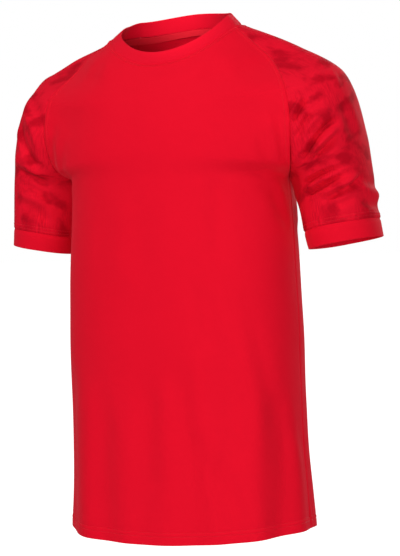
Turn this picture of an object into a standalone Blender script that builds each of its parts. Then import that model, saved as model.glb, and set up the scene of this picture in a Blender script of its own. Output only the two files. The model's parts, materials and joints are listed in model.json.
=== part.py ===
"""Training t-shirt with raglan sleeves, filled out as if it were worn.

Metres, +Z up. The garment faces -Y and the wearer's left is +X. The origin lies between the tops of
the shoulders, where the wearer carries the shirt. Each cut piece is one closed cloth wall, hollow
inside, and the pieces stand one seam gap apart. All points come from the sizes and the short tables
below. Two numbers name a place on the cloth: "across" runs round the body or the arm, and "level" is
the distance along the cloth above the underarm seam, negative below it.
"""
import bmesh
import bpy
import numpy as np

# ---------------------------------------------------------------- sizes
WALL = 0.0012              # body and sleeve cloth
RIB_WALL = 0.0018          # collar and cuff bands, two layers of cloth
TAPE_WALL = 0.0010
SEAM_GAP = 0.0003

HEM_Z = -0.7055            # side seam's lower end
UNDERARM_Z = -0.215
COLLAR_DEPTH = 0.0205
CUFF_DEPTH = 0.022
TAPE_DEPTH = 0.0135        # measured in levels, about 9 mm of cloth at the middle of the back
TAPE_TOP = 0.0015          # how far below the collar seam it starts, in levels
TAPE_START = 1.25          # where it starts round the neck: 1 and 2 are the sleeve's seams

# The neckline seam, seen from above, is an oval. Angles run from the front middle to the back middle.
NECK_HALF_WIDTH = 0.097
NECK_FRONT = 0.075
NECK_BACK = 0.068
NECK_CENTRE_Y = -0.010
NECK_FRONT_Z = -0.055
NECK_SIDE_Z = -0.004
NECK_BACK_Z = 0.005
NECK_FRONT_SEAM_ANGLE = 82.0
NECK_BACK_SEAM_ANGLE = 128.0
NECK_LEVEL = 0.288
NECK_DIP_POWER = 1.5       # how late, going round from the side, the neckline dips at the front
BACK_MIDDLE = 3            # the number of pieces round half the neckline
NECK_TILT = 0.045          # how much higher the wearer's left of the neckline is held, over its width
NECK_TILT_FROM = -0.040    # heights between which this tilt sets in
NECK_TILT_TO = -0.005

# The collar's lean: the place round the neck, as in round_neck, and degrees inwards from upright.
COLLAR_LEANS = (
    (-3, 10), (-2, 20), (-1.5, 40), (-1, 52), (-0.5, 36), (0, 24), (0.5, 30), (1, 44), (1.5, 46), (2, 34),
    (3, 10))

# The sleeve below the underarm: a tapering tube that hangs a little outwards and back.
ARM_SPREAD = 9.5           # degrees
ARM_TOP_WIDTH = 0.110
ARM_CENTRE_Y = 0.022
ARM_HALF_DEPTH = 0.060
CUFF_CENTRE = (0.2340, 0.030, -0.308)
CUFF_HALF_WIDTH = 0.0505
CUFF_HALF_DEPTH = 0.0600
CUFF_LEVEL = CUFF_CENTRE[2] - UNDERARM_Z
CUFF_SEAM_LEVEL = CUFF_LEVEL + CUFF_DEPTH

AXES = ("_x", "_y", "_z")  # endings of the columns that place a point
NECK_FRONT_PULL = 1.51     # pull of the panels' arcs at the neckline, over their half width
NECK_BACK_PULL = 1.20
SQUARE_CORNER = 1.95       # pull of a body ring's curve over its half width: 1.66 would be an ellipse
HALF_TURN_PULL = 4.0       # pull of a half round over its half depth
UNDERARM_ROUND = 1.4       # how full the sleeve's arcs are at the underarm
ARMPIT_TURN = 54           # degrees by which the sleeve turns off across its seam there, and 90 at the cuff
CORNER_REACH = 0.45        # share of half a panel or sleeve that follows the seams' corner at the underarm
CORNER_ROUNDING = 0.075    # how far along the cloth the corner is rounded off at that reach
CORNER_SAMPLES = (-0.8, -0.4, 0, 0.4, 0.8)

# The body below the underarm: one row for each ring.
# "dip" is how much lower the ring hangs at its middles than at its sides.
# The columns are height, half width, depth in front, depth behind, the side seam's y, and the dip.
TRUNK_RINGS = (
    (HEM_Z, 0.1805, 0.133, 0.111, 0.008, 0.0115),
    (-0.560, 0.1735, 0.125, 0.107, 0.004, 0.001),
    (-0.380, 0.1700, 0.123, 0.103, 0.002, 0.0),
    (UNDERARM_Z, 0.1610, 0.123, 0.095, 0.004, 0.0),
)

# The body and sleeve above the underarm: one row for each level. "front" and "back" are the middles of
# the panels, the seams are the raglan seams, and "top" is the line over the shoulder. An angle is the
# way across the seam, seen from above. "crease" is 1 where chest and sleeve lie face to face, and
# "round" is how full the sleeve's arcs are, 1 for a flat one.
YOKE_COLUMNS = (
    "level", "front_y", "front_z", "seam_x", "seam_y", "seam_z", "seam_angle", "top_x", "top_y", "top_z",
    "back_seam_x", "back_seam_y", "back_seam_z", "back_seam_angle", "back_y", "back_z", "crease", "round")
YOKE_LEVELS = (
    (0.060, -0.1202, -0.180, 0.183, -0.043, -0.192, 2, 0.263, 0.022, -0.151,
     0.186, 0.058, -0.188, 0, 0.0985, -0.180, 0.50, 1.35),
    (0.108, -0.1165, -0.144, 0.190, -0.061, -0.140, 4, 0.254, 0.022, -0.107,
     0.184, 0.082, -0.140, -6, 0.0988, -0.140, 0.12, 1.30),
    (0.153, -0.1097, -0.112, 0.185, -0.057, -0.102, 18, 0.239, 0.021, -0.072,
     0.164, 0.084, -0.095, -14, 0.0932, -0.094, 0.0, 1.22),
    (0.218, -0.0980, -0.080, 0.149, -0.024, -0.049, 50, 0.179, 0.018, -0.0365,
     0.125, 0.067, -0.046, -32, 0.0780, -0.040, 0.0, 1.10),
)

# The largest folds. A row names the piece whose numbers place it, gives three places (across, level)
# along its line, then its half width and its height in metres, which is negative for a trough.
FOLD_COLUMNS = ("piece", "across_1", "level_1", "across_2", "level_2", "across_3", "level_3",
                "half_width", "height")
FOLDS = (
    ("front_body", 0.14, -0.25, 0.14, -0.36, 0.17, -0.49, 0.024, -0.0032),
    ("front_body", 0.44, -0.16, 0.58, -0.31, 0.51, -0.49, 0.026, 0.0034),
    ("front_body", 0.28, -0.31, 0.32, -0.40, 0.38, -0.49, 0.022, -0.0024),
    ("front_body", -0.02, -0.24, -0.01, -0.33, -0.03, -0.42, 0.022, -0.0020),
    ("front_body", -0.35, -0.28, -0.42, -0.38, -0.40, -0.49, 0.026, 0.0028),
    ("front_body", 0.36, 0.01, 0.37, -0.06, 0.33, -0.13, 0.024, -0.0020),
    ("front_body", 0.93, 0.125, 0.84, 0.085, 0.76, 0.020, 0.020, -0.0036),
    ("front_body", -0.94, 0.120, -0.83, 0.080, -0.78, 0.015, 0.020, -0.0034),
    ("back_body", 0.12, -0.22, 0.06, -0.37, 0.10, -0.49, 0.026, 0.0032),
    ("back_body", -0.30, -0.26, -0.38, -0.38, -0.35, -0.49, 0.024, -0.0032),
    ("back_body", 0.45, -0.25, 0.54, -0.38, 0.50, -0.49, 0.024, -0.0030),
    ("back_body", 0.92, 0.110, 0.82, 0.075, 0.72, 0.010, 0.022, -0.0036),
    ("back_body", -0.92, 0.100, -0.80, 0.070, -0.70, 0.005, 0.022, -0.0036),
    ("left_sleeve", 0.07, 0.040, 0.18, 0.082, 0.36, 0.086, 0.013, -0.0038),
    ("left_sleeve", 0.13, 0.010, 0.27, 0.040, 0.42, 0.046, 0.013, 0.0034),
    ("left_sleeve", 0.14, -0.030, 0.27, -0.018, 0.42, -0.004, 0.012, -0.0034),
    ("left_sleeve", 0.22, -0.050, 0.34, -0.034, 0.47, -0.018, 0.012, 0.0030),
    ("left_sleeve", 0.90, 0.045, 0.78, 0.070, 0.66, 0.074, 0.014, -0.0034),
    ("left_sleeve", 0.86, -0.028, 0.74, -0.018, 0.60, -0.010, 0.013, -0.0030),
    ("right_sleeve", 0.06, 0.045, 0.16, 0.085, 0.33, 0.095, 0.014, -0.0036),
    ("right_sleeve", 0.12, 0.005, 0.25, 0.030, 0.40, 0.040, 0.013, 0.0032),
    ("right_sleeve", 0.14, -0.035, 0.26, -0.030, 0.42, -0.016, 0.013, -0.0030),
    ("right_sleeve", 0.91, 0.050, 0.80, 0.075, 0.68, 0.085, 0.014, -0.0034),
    ("right_sleeve", 0.86, -0.020, 0.73, -0.026, 0.60, -0.014, 0.013, -0.0028),
)
FOLD_STEPS = 12            # straight stretches along a fold's line
FOLD_FADE = 0.4            # share of a fold's length over which it rises from nothing
CREASE_MARGIN = 0.15       # how far from a seam folds die out where chest and sleeve lie face to face
CREASE_REACH = 0.02        # and how far below the underarm

# How finely each piece is laid out.
PANEL_COLUMNS = 26
SLEEVE_COLUMNS = 24
TRUNK_ROWS = 15
YOKE_ROWS = 16
ARM_ROWS = 6
COLLAR_ROWS = 3
CUFF_ROWS = 2
TAPE_ROWS = 1
WELD_DISTANCE = 1e-6
SHARP_ANGLE = 50.0

# name: colour, roughness
FINISHES = {
    "red_knit": ((0.87, 0.014, 0.027, 1), 0.75),
    "printed_red_knit": ((0.60, 0.008, 0.020, 1), 0.70),
    "red_rib": ((0.84, 0.012, 0.026, 1), 0.80),
    "red_tape": ((0.80, 0.020, 0.040, 1), 0.80),
}


# ---------------------------------------------------------------- curves through the tables
def through(rows, place):
    """The table's columns at a place of its first column, on a smooth curve that never overshoots."""
    rows = np.asarray(rows, float)
    x, y = rows[:, 0], rows[:, 1:]
    step = np.diff(x)[:, None]
    secant = np.diff(y, axis=0) / step
    slope = np.vstack([secant[:1], np.zeros_like(secant[1:]), secant[-1:]])
    before, after = secant[:-1], secant[1:]
    near, far = 2 * step[1:] + step[:-1], step[1:] + 2 * step[:-1]
    same_way = before * after > 0
    mean = (near + far) * before * after / np.where(same_way, near * after + far * before, 1)
    slope[1:-1] = np.where(same_way, mean, 0)
    k = np.clip(np.searchsorted(x, place, side="right") - 1, 0, len(x) - 2)
    t = ((place - x[k]) / step[k, 0])[..., None]
    return curve(t, y[k], slope[k] * step[k], y[k + 1], slope[k + 1] * step[k])


def curve(t, start, start_pull, end, end_pull):
    """A cubic curve from start to end, with its direction and strength given at both."""
    return ((2 * t**3 - 3 * t**2 + 1) * start + (t**3 - 2 * t**2 + t) * start_pull
            + (3 * t**2 - 2 * t**3) * end + (t**3 - t**2) * end_pull)


def eased(t):
    t = np.clip(t, 0, 1)
    return t * t * (3 - 2 * t)


def heading(degrees, length):
    """A direction seen from above, 0 towards +X and 90 towards +Y."""
    return np.stack([np.cos(np.radians(degrees)) * length, np.sin(np.radians(degrees)) * length], -1)


def raised(plan, z):
    return np.concatenate([plan, z[..., None]], -1)


# ---------------------------------------------------------------- the tables' end rows
def neck_point(degrees):
    sine, cosine = np.sin(np.radians(degrees)), np.cos(np.radians(degrees))
    depth, end_z = (NECK_FRONT, NECK_FRONT_Z) if cosine > 0 else (NECK_BACK, NECK_BACK_Z)
    z = NECK_SIDE_Z + (end_z - NECK_SIDE_Z) * abs(cosine) ** NECK_DIP_POWER
    return NECK_HALF_WIDTH * sine, NECK_CENTRE_Y - depth * cosine, z


def neck_heading(degrees):
    sine, cosine = np.sin(np.radians(degrees)), np.cos(np.radians(degrees))
    depth = NECK_FRONT if cosine > 0 else NECK_BACK
    return np.degrees(np.arctan2(depth * sine, NECK_HALF_WIDTH * cosine))


def at_point(name, point):
    """The three columns that place a point."""
    return dict(zip((name + axis for axis in AXES), point))


def underarm_row():
    """Where the raglan seams, the side seam and the sleeve's own seam all meet."""
    _, half_width, front, back, side_y, _ = TRUNK_RINGS[-1]
    meeting = (half_width, side_y, UNDERARM_Z)
    top = (half_width + ARM_TOP_WIDTH, ARM_CENTRE_Y,
           UNDERARM_Z + ARM_TOP_WIDTH * np.tan(np.radians(ARM_SPREAD)))
    return {"level": 0, "front_y": side_y - front, "front_z": UNDERARM_Z, "back_y": side_y + back,
            "back_z": UNDERARM_Z, **at_point("seam", meeting), "seam_angle": 0, **at_point("top", top),
            **at_point("back_seam", meeting), "back_seam_angle": 0, "crease": 1, "round": UNDERARM_ROUND}


def neckline_row():
    _, front_y, front_z = neck_point(0)
    _, back_y, back_z = neck_point(180)
    middle = (NECK_FRONT_SEAM_ANGLE + NECK_BACK_SEAM_ANGLE) / 2
    return {"level": NECK_LEVEL, "front_y": front_y, "front_z": front_z, "back_y": back_y, "back_z": back_z,
            **at_point("seam", neck_point(NECK_FRONT_SEAM_ANGLE)),
            "seam_angle": neck_heading(NECK_FRONT_SEAM_ANGLE), **at_point("top", neck_point(middle)),
            **at_point("back_seam", neck_point(NECK_BACK_SEAM_ANGLE)),
            "back_seam_angle": neck_heading(NECK_BACK_SEAM_ANGLE) - 180, "crease": 0, "round": 1}


def table_of(rows_below):
    """A table from the rows given for below the underarm and the ones that body and sleeve share."""
    yoke = [dict(zip(YOKE_COLUMNS, row)) for row in YOKE_LEVELS]
    rows = [*rows_below, underarm_row(), *yoke, neckline_row()]
    return np.array([[row[name] for name in YOKE_COLUMNS] for row in rows], float)


def body_table():
    """Below the underarm, the side seam takes both raglan seams' place."""
    rings = []
    for z, half_width, front, back, side_y, dip in TRUNK_RINGS[:-1]:
        side_seam = (half_width, side_y, z)
        rings.append({**underarm_row(), "level": z - UNDERARM_Z, "front_y": side_y - front,
                      "front_z": z - dip, "back_y": side_y + back, "back_z": z - dip,
                      **at_point("seam", side_seam), **at_point("back_seam", side_seam)})
    return table_of(rings)


def sleeve_table():
    """Below the underarm, the sleeve's own seam takes both raglan seams' place."""
    cuff_x, cuff_y, cuff_z = CUFF_CENTRE
    rise = CUFF_HALF_WIDTH * np.tan(np.radians(ARM_SPREAD))
    seam = (cuff_x - CUFF_HALF_WIDTH, cuff_y, cuff_z - rise)
    top = (cuff_x + CUFF_HALF_WIDTH, cuff_y, cuff_z + rise)
    return table_of([{**underarm_row(), "level": CUFF_LEVEL, **at_point("seam", seam),
                      **at_point("top", top), **at_point("back_seam", seam)}])


BODY = body_table()
SLEEVE = sleeve_table()


def columns_at(table, level):
    """A table's columns at a level, by name."""
    return dict(zip(YOKE_COLUMNS[1:], np.moveaxis(through(table, level), -1, 0)))


def corner(table, level, seam, edge):
    """How far the cloth lies from its smooth curve through the table, because the seam turns a sharp
    corner at the underarm. edge is 0 at the seam. Away from it, the corner is rounded off more and more."""
    place = 1 + YOKE_COLUMNS[1:].index(seam + "_x")
    points = table[:, [0, place, place + 1, place + 2]]
    total = 0
    for sample in CORNER_SAMPLES:
        near = np.clip(level + sample * CORNER_ROUNDING * edge / CORNER_REACH, points[0, 0], points[-1, 0])
        below = through(points[points[:, 0] <= 0], np.minimum(near, 0))
        above = through(points[points[:, 0] >= 0], np.maximum(near, 0))
        total = total + np.where((near < 0)[..., None], below, above) - through(points, near)
    return eased(1 - edge / CORNER_REACH)[..., None] * total / len(CORNER_SAMPLES)


# ---------------------------------------------------------------- the cloth's form
def point_of(row, name):
    return np.stack([row[name + axis] for axis in AXES], -1)


def climb(row, seam, middle):
    """How steeply the cloth rises across a raglan seam: level at the underarm's crease, and further up
    as steep as the way from the panel's middle over the seam to the top of the sleeve."""
    seam_x, seam_y = row[seam + "_x"], row[seam + "_y"]
    way = (np.hypot(seam_x, seam_y - row[middle + "_y"])
           + np.hypot(row["top_x"] - seam_x, row["top_y"] - seam_y))
    return (1 - row["crease"]) * np.maximum(row["top_z"] - row[middle + "_z"], 0) / way


def half_panel(across, level, back):
    """Half a body panel from hem to neckline. across is 0 at the middle and 1 at the seam."""
    row = columns_at(BODY, level)
    lift = np.clip(level / NECK_LEVEL, 0, 1)
    name, middle, turn, neck_pull = (("back_seam", "back", -90, NECK_BACK_PULL) if back
                                     else ("seam", "front", 90, NECK_FRONT_PULL))
    start = np.stack([0 * level, row[middle + "_y"], row[middle + "_z"]], -1)
    end = point_of(row, name)
    start_pull = (SQUARE_CORNER * (1 - lift) + neck_pull * lift) * end[..., 0]
    reach = np.abs(end[..., 1] - start[..., 1])
    end_pull = row["crease"] * SQUARE_CORNER * reach + (1 - row["crease"]) * np.hypot(end[..., 0], reach)
    end_heading = row[name + "_angle"] + turn * row["crease"]
    points = curve(across[..., None], start, raised(heading(0, start_pull), 0 * level),
                   end, raised(heading(end_heading, end_pull), climb(row, name, middle) * end_pull))
    return points + corner(BODY, level, name, 1 - across)


def panel(across, level, back):
    """A whole body panel, across from -1 at the wearer's right to 1 at the left."""
    points = half_panel(np.abs(across), level, back)
    points[..., 0] *= np.where(across < 0, -1, 1)
    return points


def sleeve(across, level):
    """A left sleeve. across is 0 at the front seam, 0.5 over the top and 1 at the back seam.

    Below the underarm, where level is negative, both seams are the one underarm seam.
    """
    row = columns_at(SLEEVE, level)
    at = {name: point_of(row, name) for name in ("seam", "top", "back_seam")}
    down = eased(level / CUFF_LEVEL)
    half_depth = ARM_HALF_DEPTH + (CUFF_HALF_DEPTH - ARM_HALF_DEPTH) * down
    loop = HALF_TURN_PULL * half_depth * row["crease"]
    chord = {name: np.linalg.norm(at["top"][..., :2] - at[name][..., :2], axis=-1)
             for name in ("seam", "back_seam")}
    pull = {name: loop + (1 - row["crease"]) * row["round"] * chord[name] for name in chord}
    over = raised(heading(90, (pull["seam"] + pull["back_seam"]) / 2), 0 * level)
    turn = (ARMPIT_TURN + (90 - ARMPIT_TURN) * down) * row["crease"]
    out_of_front = raised(heading(row["seam_angle"] - turn, pull["seam"]),
                          climb(row, "seam", "front") * pull["seam"])
    into_back = raised(heading(180 + row["back_seam_angle"] + turn, pull["back_seam"]),
                       -climb(row, "back_seam", "back") * pull["back_seam"])
    first = np.clip(2 * across, 0, 1)[..., None]
    second = np.clip(2 * across - 1, 0, 1)[..., None]
    points = np.where(across[..., None] <= 0.5, curve(first, at["seam"], out_of_front, at["top"], over),
                      curve(second, at["top"], over, at["back_seam"], into_back))
    return (points + corner(SLEEVE, level, "seam", 2 * across)
            + corner(SLEEVE, level, "back_seam", 2 - 2 * across))


def tilted(points):
    """The points with the neckline held a little higher on the wearer's left."""
    share = eased((points[..., 2] - NECK_TILT_FROM) / (NECK_TILT_TO - NECK_TILT_FROM))
    points[..., 2] += NECK_TILT * points[..., 0] * share
    return points


def outward(form, across, level, side=1):
    """Unit directions out of the cloth, from the form's slopes."""
    small = 1e-4
    along = form(across + small, level) - form(across - small, level)
    up = form(across, level + small) - form(across, level - small)
    normal = side * np.cross(along, up)
    return normal / np.linalg.norm(normal, axis=-1, keepdims=True)


def round_neck(turn, level):
    """The cloth near the neckline. turn is 0 at the front middle, 1 and 2 at the left sleeve's seams and
    3 at the back middle, and negative on the wearer's right."""
    half = np.abs(turn)
    points = np.where((half <= 1)[..., None], half_panel(np.clip(half, 0, 1), level, False),
                      sleeve(np.clip(half - 1, 0, 1), level))
    points = np.where((half > 2)[..., None], half_panel(np.clip(3 - half, 0, 1), level, True), points)
    points[..., 0] *= np.where(turn < 0, -1, 1)
    return tilted(points)


def behind_neck(turn, level):
    """round_neck with a turn that runs on past the back middle, to the wearer's right."""
    return round_neck(np.where(turn > BACK_MIDDLE, turn - 2 * BACK_MIDDLE, turn), level)


def collar_band(turn, rise):
    """The collar above its seam, leaning inwards. rise is 0 at the seam and 1 at the upper edge."""
    seam = round_neck(turn, NECK_LEVEL + 0 * turn)
    y = seam[..., 1] - NECK_CENTRE_Y
    depth = np.where(y < 0, NECK_FRONT, NECK_BACK)
    out = np.stack([seam[..., 0] / NECK_HALF_WIDTH**2, y / depth**2], -1)
    out /= np.linalg.norm(out, axis=-1, keepdims=True)
    lean = np.radians(through(COLLAR_LEANS, turn)[..., 0])
    way = raised(-out * np.sin(lean)[..., None], np.cos(lean))
    return seam + COLLAR_DEPTH * rise[..., None] * way


# ---------------------------------------------------------------- folds
PLACED_ON = {
    "front_body": lambda across, level: tilted(panel(across, level, False)),
    "back_body": lambda across, level: tilted(panel(across, level, True)),
    "left_sleeve": lambda across, level: tilted(sleeve(across, level)),
    "right_sleeve": lambda across, level: tilted(sleeve(across, level) * (-1, 1, 1)),
}


def fold_line(fold):
    t = np.linspace(0, 1, FOLD_STEPS + 1)
    across, level = [(1 - t) ** 2 * fold[name + "_1"] + 2 * t * (1 - t) * fold[name + "_2"]
                     + t**2 * fold[name + "_3"] for name in ("across", "level")]
    return PLACED_ON[fold["piece"]](across, level)


def fold_height(points):
    """How far all the folds together push the cloth out at each point."""
    height = np.zeros(points.shape[:-1])
    for row in FOLDS:
        fold = dict(zip(FOLD_COLUMNS, row))
        line = fold_line(fold)
        nearest = np.full(height.shape, np.inf)
        place = np.zeros(height.shape)
        for k, (a, b) in enumerate(zip(line[:-1], line[1:])):
            part = np.clip((points - a) @ (b - a) / ((b - a) @ (b - a)), 0, 1)
            distance = np.linalg.norm(points - a - part[..., None] * (b - a), axis=-1)
            place = np.where(distance < nearest, (k + part) / FOLD_STEPS, place)
            nearest = np.minimum(nearest, distance)
        runs_off = fold["level_3"] <= HEM_Z - UNDERARM_Z
        fade = eased(place / FOLD_FADE) * (1 if runs_off else eased((1 - place) / FOLD_FADE))
        height += fold["height"] * fade * np.clip(1 - (nearest / fold["half_width"]) ** 2, 0, 1) ** 2
    return height


def away_from_crease(edge, level):
    """1 on open cloth and 0 where two pieces face each other at the underarm. edge is 0 at the seam."""
    facing = columns_at(SLEEVE, np.maximum(level, 0))["crease"] * (level > -CREASE_REACH)
    return 1 - facing * (1 - eased(edge / CREASE_MARGIN))


# ---------------------------------------------------------------- seam gaps
HALF_GAP = SEAM_GAP / 2


def panel_gap(across, level, back):
    """Draws a body panel's edges back by half the seam gap."""
    shift = np.zeros(across.shape + (3,))
    row = columns_at(SLEEVE, np.maximum(level, 0))
    angle = 180 + row["back_seam_angle" if back else "seam_angle"]
    side = np.sign(across) * (np.abs(across) == 1)
    on_raglan = raised(heading(angle, HALF_GAP), 0 * level) * np.stack([side, np.abs(side), 0 * side], -1)
    on_side_seam = np.stack([0 * side, (1 if back else -1) * HALF_GAP * np.abs(side), 0 * side], -1)
    shift += np.where((level >= 0)[..., None], on_raglan, 0)
    shift += np.where((level <= 0)[..., None], on_side_seam, 0)
    shift[..., 2] -= HALF_GAP * (level == NECK_LEVEL)
    return shift


def sleeve_gap(across, level):
    row = columns_at(SLEEVE, np.maximum(level, 0))
    front = raised(heading(row["seam_angle"], HALF_GAP), 0 * level) * (across == 0)[..., None]
    back = raised(heading(row["back_seam_angle"], HALF_GAP), 0 * level) * (across == 1)[..., None]
    shift = np.where((level >= 0)[..., None], front + back, 0)
    shift[..., 2] -= HALF_GAP * (level == NECK_LEVEL)
    shift[..., 2] += HALF_GAP * (level == CUFF_SEAM_LEVEL)
    return shift


def front_gap(across, level):
    return panel_gap(across, level, False)


def back_gap(across, level):
    return panel_gap(across, level, True)


def right_sleeve_gap(across, level):
    return sleeve_gap(across, level) * (-1, 1, 1)


def panel_edge(across):
    return 1 - np.abs(across)


def sleeve_edge(across):
    return np.minimum(across, 1 - across)


def cuff_gap(across, level):
    return np.stack([0 * level, 0 * level, -HALF_GAP * (level == CUFF_SEAM_LEVEL)], -1)


def collar_gap(turn, rise):
    return np.stack([0 * rise, 0 * rise, HALF_GAP * (rise == 0)], -1)


# ---------------------------------------------------------------- building
def finish_material(name):
    colour, roughness = FINISHES[name]
    material = bpy.data.materials.new(name)
    material.use_nodes = True
    shader = material.node_tree.nodes["Principled BSDF"]
    shader.inputs["Base Color"].default_value = colour
    shader.inputs["Roughness"].default_value = roughness
    shader.inputs["Metallic"].default_value = 0.0
    return material


def cloth_wall(name, outer, inner, finish, collection):
    """One closed wall: a grid laid on the outer points and extruded to the inner ones.

    Both arrays hold a point for each row and column. Columns that meet, as round a tube, are welded.
    """
    rows, columns = outer.shape[:2]
    shell = bmesh.new()
    row_of = shell.verts.layers.int.new("row")
    column_of = shell.verts.layers.int.new("column")
    bmesh.ops.create_grid(shell, x_segments=columns - 1, y_segments=rows - 1, size=1)
    for vertex in shell.verts:
        vertex[column_of] = round((vertex.co.x + 1) / 2 * (columns - 1))
        vertex[row_of] = round((vertex.co.y + 1) / 2 * (rows - 1))
        vertex.co = outer[vertex[row_of], vertex[column_of]]
    bmesh.ops.remove_doubles(shell, verts=shell.verts, dist=WELD_DISTANCE)
    extruded = bmesh.ops.extrude_face_region(shell, geom=shell.faces[:], use_keep_orig=True)
    for item in extruded["geom"]:
        if isinstance(item, bmesh.types.BMVert):
            item.co = inner[item[row_of], item[column_of]]
    bmesh.ops.recalc_face_normals(shell, faces=shell.faces)
    mesh = bpy.data.meshes.new(name)
    shell.to_mesh(mesh)
    shell.free()
    mesh.shade_smooth()
    mesh.set_sharp_from_angle(angle=np.radians(SHARP_ANGLE))
    mesh.materials.append(finish)
    piece = bpy.data.objects.new(name, mesh)
    collection.objects.link(piece)
    return piece


def layout(columns, rows):
    """The two numbers of every grid point, as arrays of rows by columns."""
    return np.meshgrid(np.asarray(columns, float), np.asarray(rows, float))


def faces_of(form, columns, rows, thickness, gap=None, edge=None, side=1, depth=0.0):
    """Outer and inner points of a wall that follows a form, with its folds and its seam gaps.

    depth sinks the outer face below the form, for a piece that lies inside another.
    """
    across, level = layout(columns, rows)
    smooth = form(across, level)
    normal = outward(form, across, level, side)
    meet = np.linalg.norm(smooth[:, 0] - smooth[:, -1], axis=-1) < WELD_DISTANCE
    shared = normal[meet, 0] + normal[meet, -1]
    normal[meet, 0] = normal[meet, -1] = shared / np.linalg.norm(shared, axis=-1, keepdims=True)
    height = fold_height(smooth)
    if edge is not None:
        height *= away_from_crease(edge(across), level)
    outer = smooth + (height - depth)[..., None] * normal
    if gap is not None:
        outer = outer + gap(across, level)
    return outer, outer - thickness * normal


def build():
    for old in list(bpy.data.objects):
        bpy.data.objects.remove(old)
    collection = bpy.data.collections.new("training_t_shirt")
    bpy.context.scene.collection.children.link(collection)
    finishes = {name: finish_material(name) for name in FINISHES}

    levels = np.linspace(0, NECK_LEVEL, YOKE_ROWS + 1)
    body_rows = [*np.linspace(HEM_Z - UNDERARM_Z, 0, TRUNK_ROWS, endpoint=False), *levels]
    body_columns = np.linspace(-1, 1, PANEL_COLUMNS + 1)
    for name, gap, side in (("front_body", front_gap, 1), ("back_body", back_gap, -1)):
        faces = faces_of(PLACED_ON[name], body_columns, body_rows, WALL, gap, panel_edge, side)
        cloth_wall(name, *faces, finishes["red_knit"], collection)

    sleeve_rows = [*np.linspace(CUFF_SEAM_LEVEL, 0, ARM_ROWS, endpoint=False), *levels]
    sleeve_columns = np.linspace(0, 1, SLEEVE_COLUMNS + 1)
    cuff_rows = np.linspace(CUFF_LEVEL, CUFF_SEAM_LEVEL, CUFF_ROWS + 1)
    for name, side in (("left", 1), ("right", -1)):
        form = PLACED_ON[name + "_sleeve"]
        gap = sleeve_gap if side > 0 else right_sleeve_gap
        arm = faces_of(form, sleeve_columns, sleeve_rows, WALL, gap, sleeve_edge, side)
        cloth_wall(name + "_sleeve", *arm, finishes["printed_red_knit"], collection)
        cuff = faces_of(form, sleeve_columns, cuff_rows, RIB_WALL, cuff_gap, sleeve_edge, side)
        cloth_wall(name + "_cuff", *cuff, finishes["red_knit"], collection)

    half_turn = [*np.linspace(0, 1, PANEL_COLUMNS // 2, endpoint=False),
                 *np.linspace(1, 2, SLEEVE_COLUMNS, endpoint=False),
                 *np.linspace(2, BACK_MIDDLE, PANEL_COLUMNS // 2 + 1)]
    turns = [*(-np.array(half_turn[:0:-1])), *half_turn]
    collar = faces_of(collar_band, turns, np.linspace(0, 1, COLLAR_ROWS + 1), RIB_WALL, collar_gap)
    cloth_wall("collar", *collar, finishes["red_rib"], collection)

    tape_rows = np.linspace(NECK_LEVEL - TAPE_TOP - TAPE_DEPTH, NECK_LEVEL - TAPE_TOP, TAPE_ROWS + 1)
    tape_half = [turn for turn in half_turn if turn >= TAPE_START]
    tape_turns = [*tape_half, *(2 * BACK_MIDDLE - np.array(tape_half[-2::-1]))]
    tape = faces_of(behind_neck, tape_turns, tape_rows, TAPE_WALL, depth=WALL + SEAM_GAP)
    cloth_wall("neck_tape", *tape, finishes["red_tape"], collection)


build()
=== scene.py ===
# %% [markdown]
# # A red training t-shirt, filled out as if worn
#
# The shirt is sewn from two body panels, two raglan sleeves, two cuff bands, a collar and a strip of
# tape inside the neck. This lesson dresses a plain model of it, the "frame", with cloth that has
# creases, seams, stitching and a knitted surface. All sizes are in metres, +Z is up, the shirt faces -Y
# and the wearer's left is +X. We start by loading the frame, because the finished cloth has to fill
# the same space.

# %% Load the frame
import json

import bmesh
import bpy
import numpy as np
from mathutils import Matrix, Vector

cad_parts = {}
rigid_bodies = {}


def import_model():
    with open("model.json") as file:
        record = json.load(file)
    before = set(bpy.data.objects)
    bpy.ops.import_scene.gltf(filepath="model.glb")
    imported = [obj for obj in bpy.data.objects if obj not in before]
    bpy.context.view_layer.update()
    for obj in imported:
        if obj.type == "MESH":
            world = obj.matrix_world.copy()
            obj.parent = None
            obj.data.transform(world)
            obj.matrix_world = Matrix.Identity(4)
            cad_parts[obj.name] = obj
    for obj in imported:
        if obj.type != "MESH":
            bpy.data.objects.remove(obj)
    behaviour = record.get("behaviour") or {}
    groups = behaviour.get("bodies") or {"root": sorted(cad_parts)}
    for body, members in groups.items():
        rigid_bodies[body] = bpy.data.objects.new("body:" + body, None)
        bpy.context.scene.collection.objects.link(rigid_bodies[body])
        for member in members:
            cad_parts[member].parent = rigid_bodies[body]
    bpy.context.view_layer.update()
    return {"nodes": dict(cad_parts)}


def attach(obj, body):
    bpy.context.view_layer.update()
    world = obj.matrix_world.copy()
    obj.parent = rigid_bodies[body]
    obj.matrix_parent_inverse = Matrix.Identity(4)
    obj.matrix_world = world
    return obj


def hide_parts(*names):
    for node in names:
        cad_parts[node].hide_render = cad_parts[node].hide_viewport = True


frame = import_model()
bpy.ops.object.select_all(action="DESELECT")
print("pieces to dress:", sorted(frame["nodes"]))

# %% [markdown]
# ## The camera
#
# A long lens, a little to the wearer's left and level with the chest, shows the front and the near
# sleeve at once. We could aim it with a Track To constraint, but a matrix built from three directions
# also holds the slight roll of the picture. The lens shift moves the shirt to its place in the frame.

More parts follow.
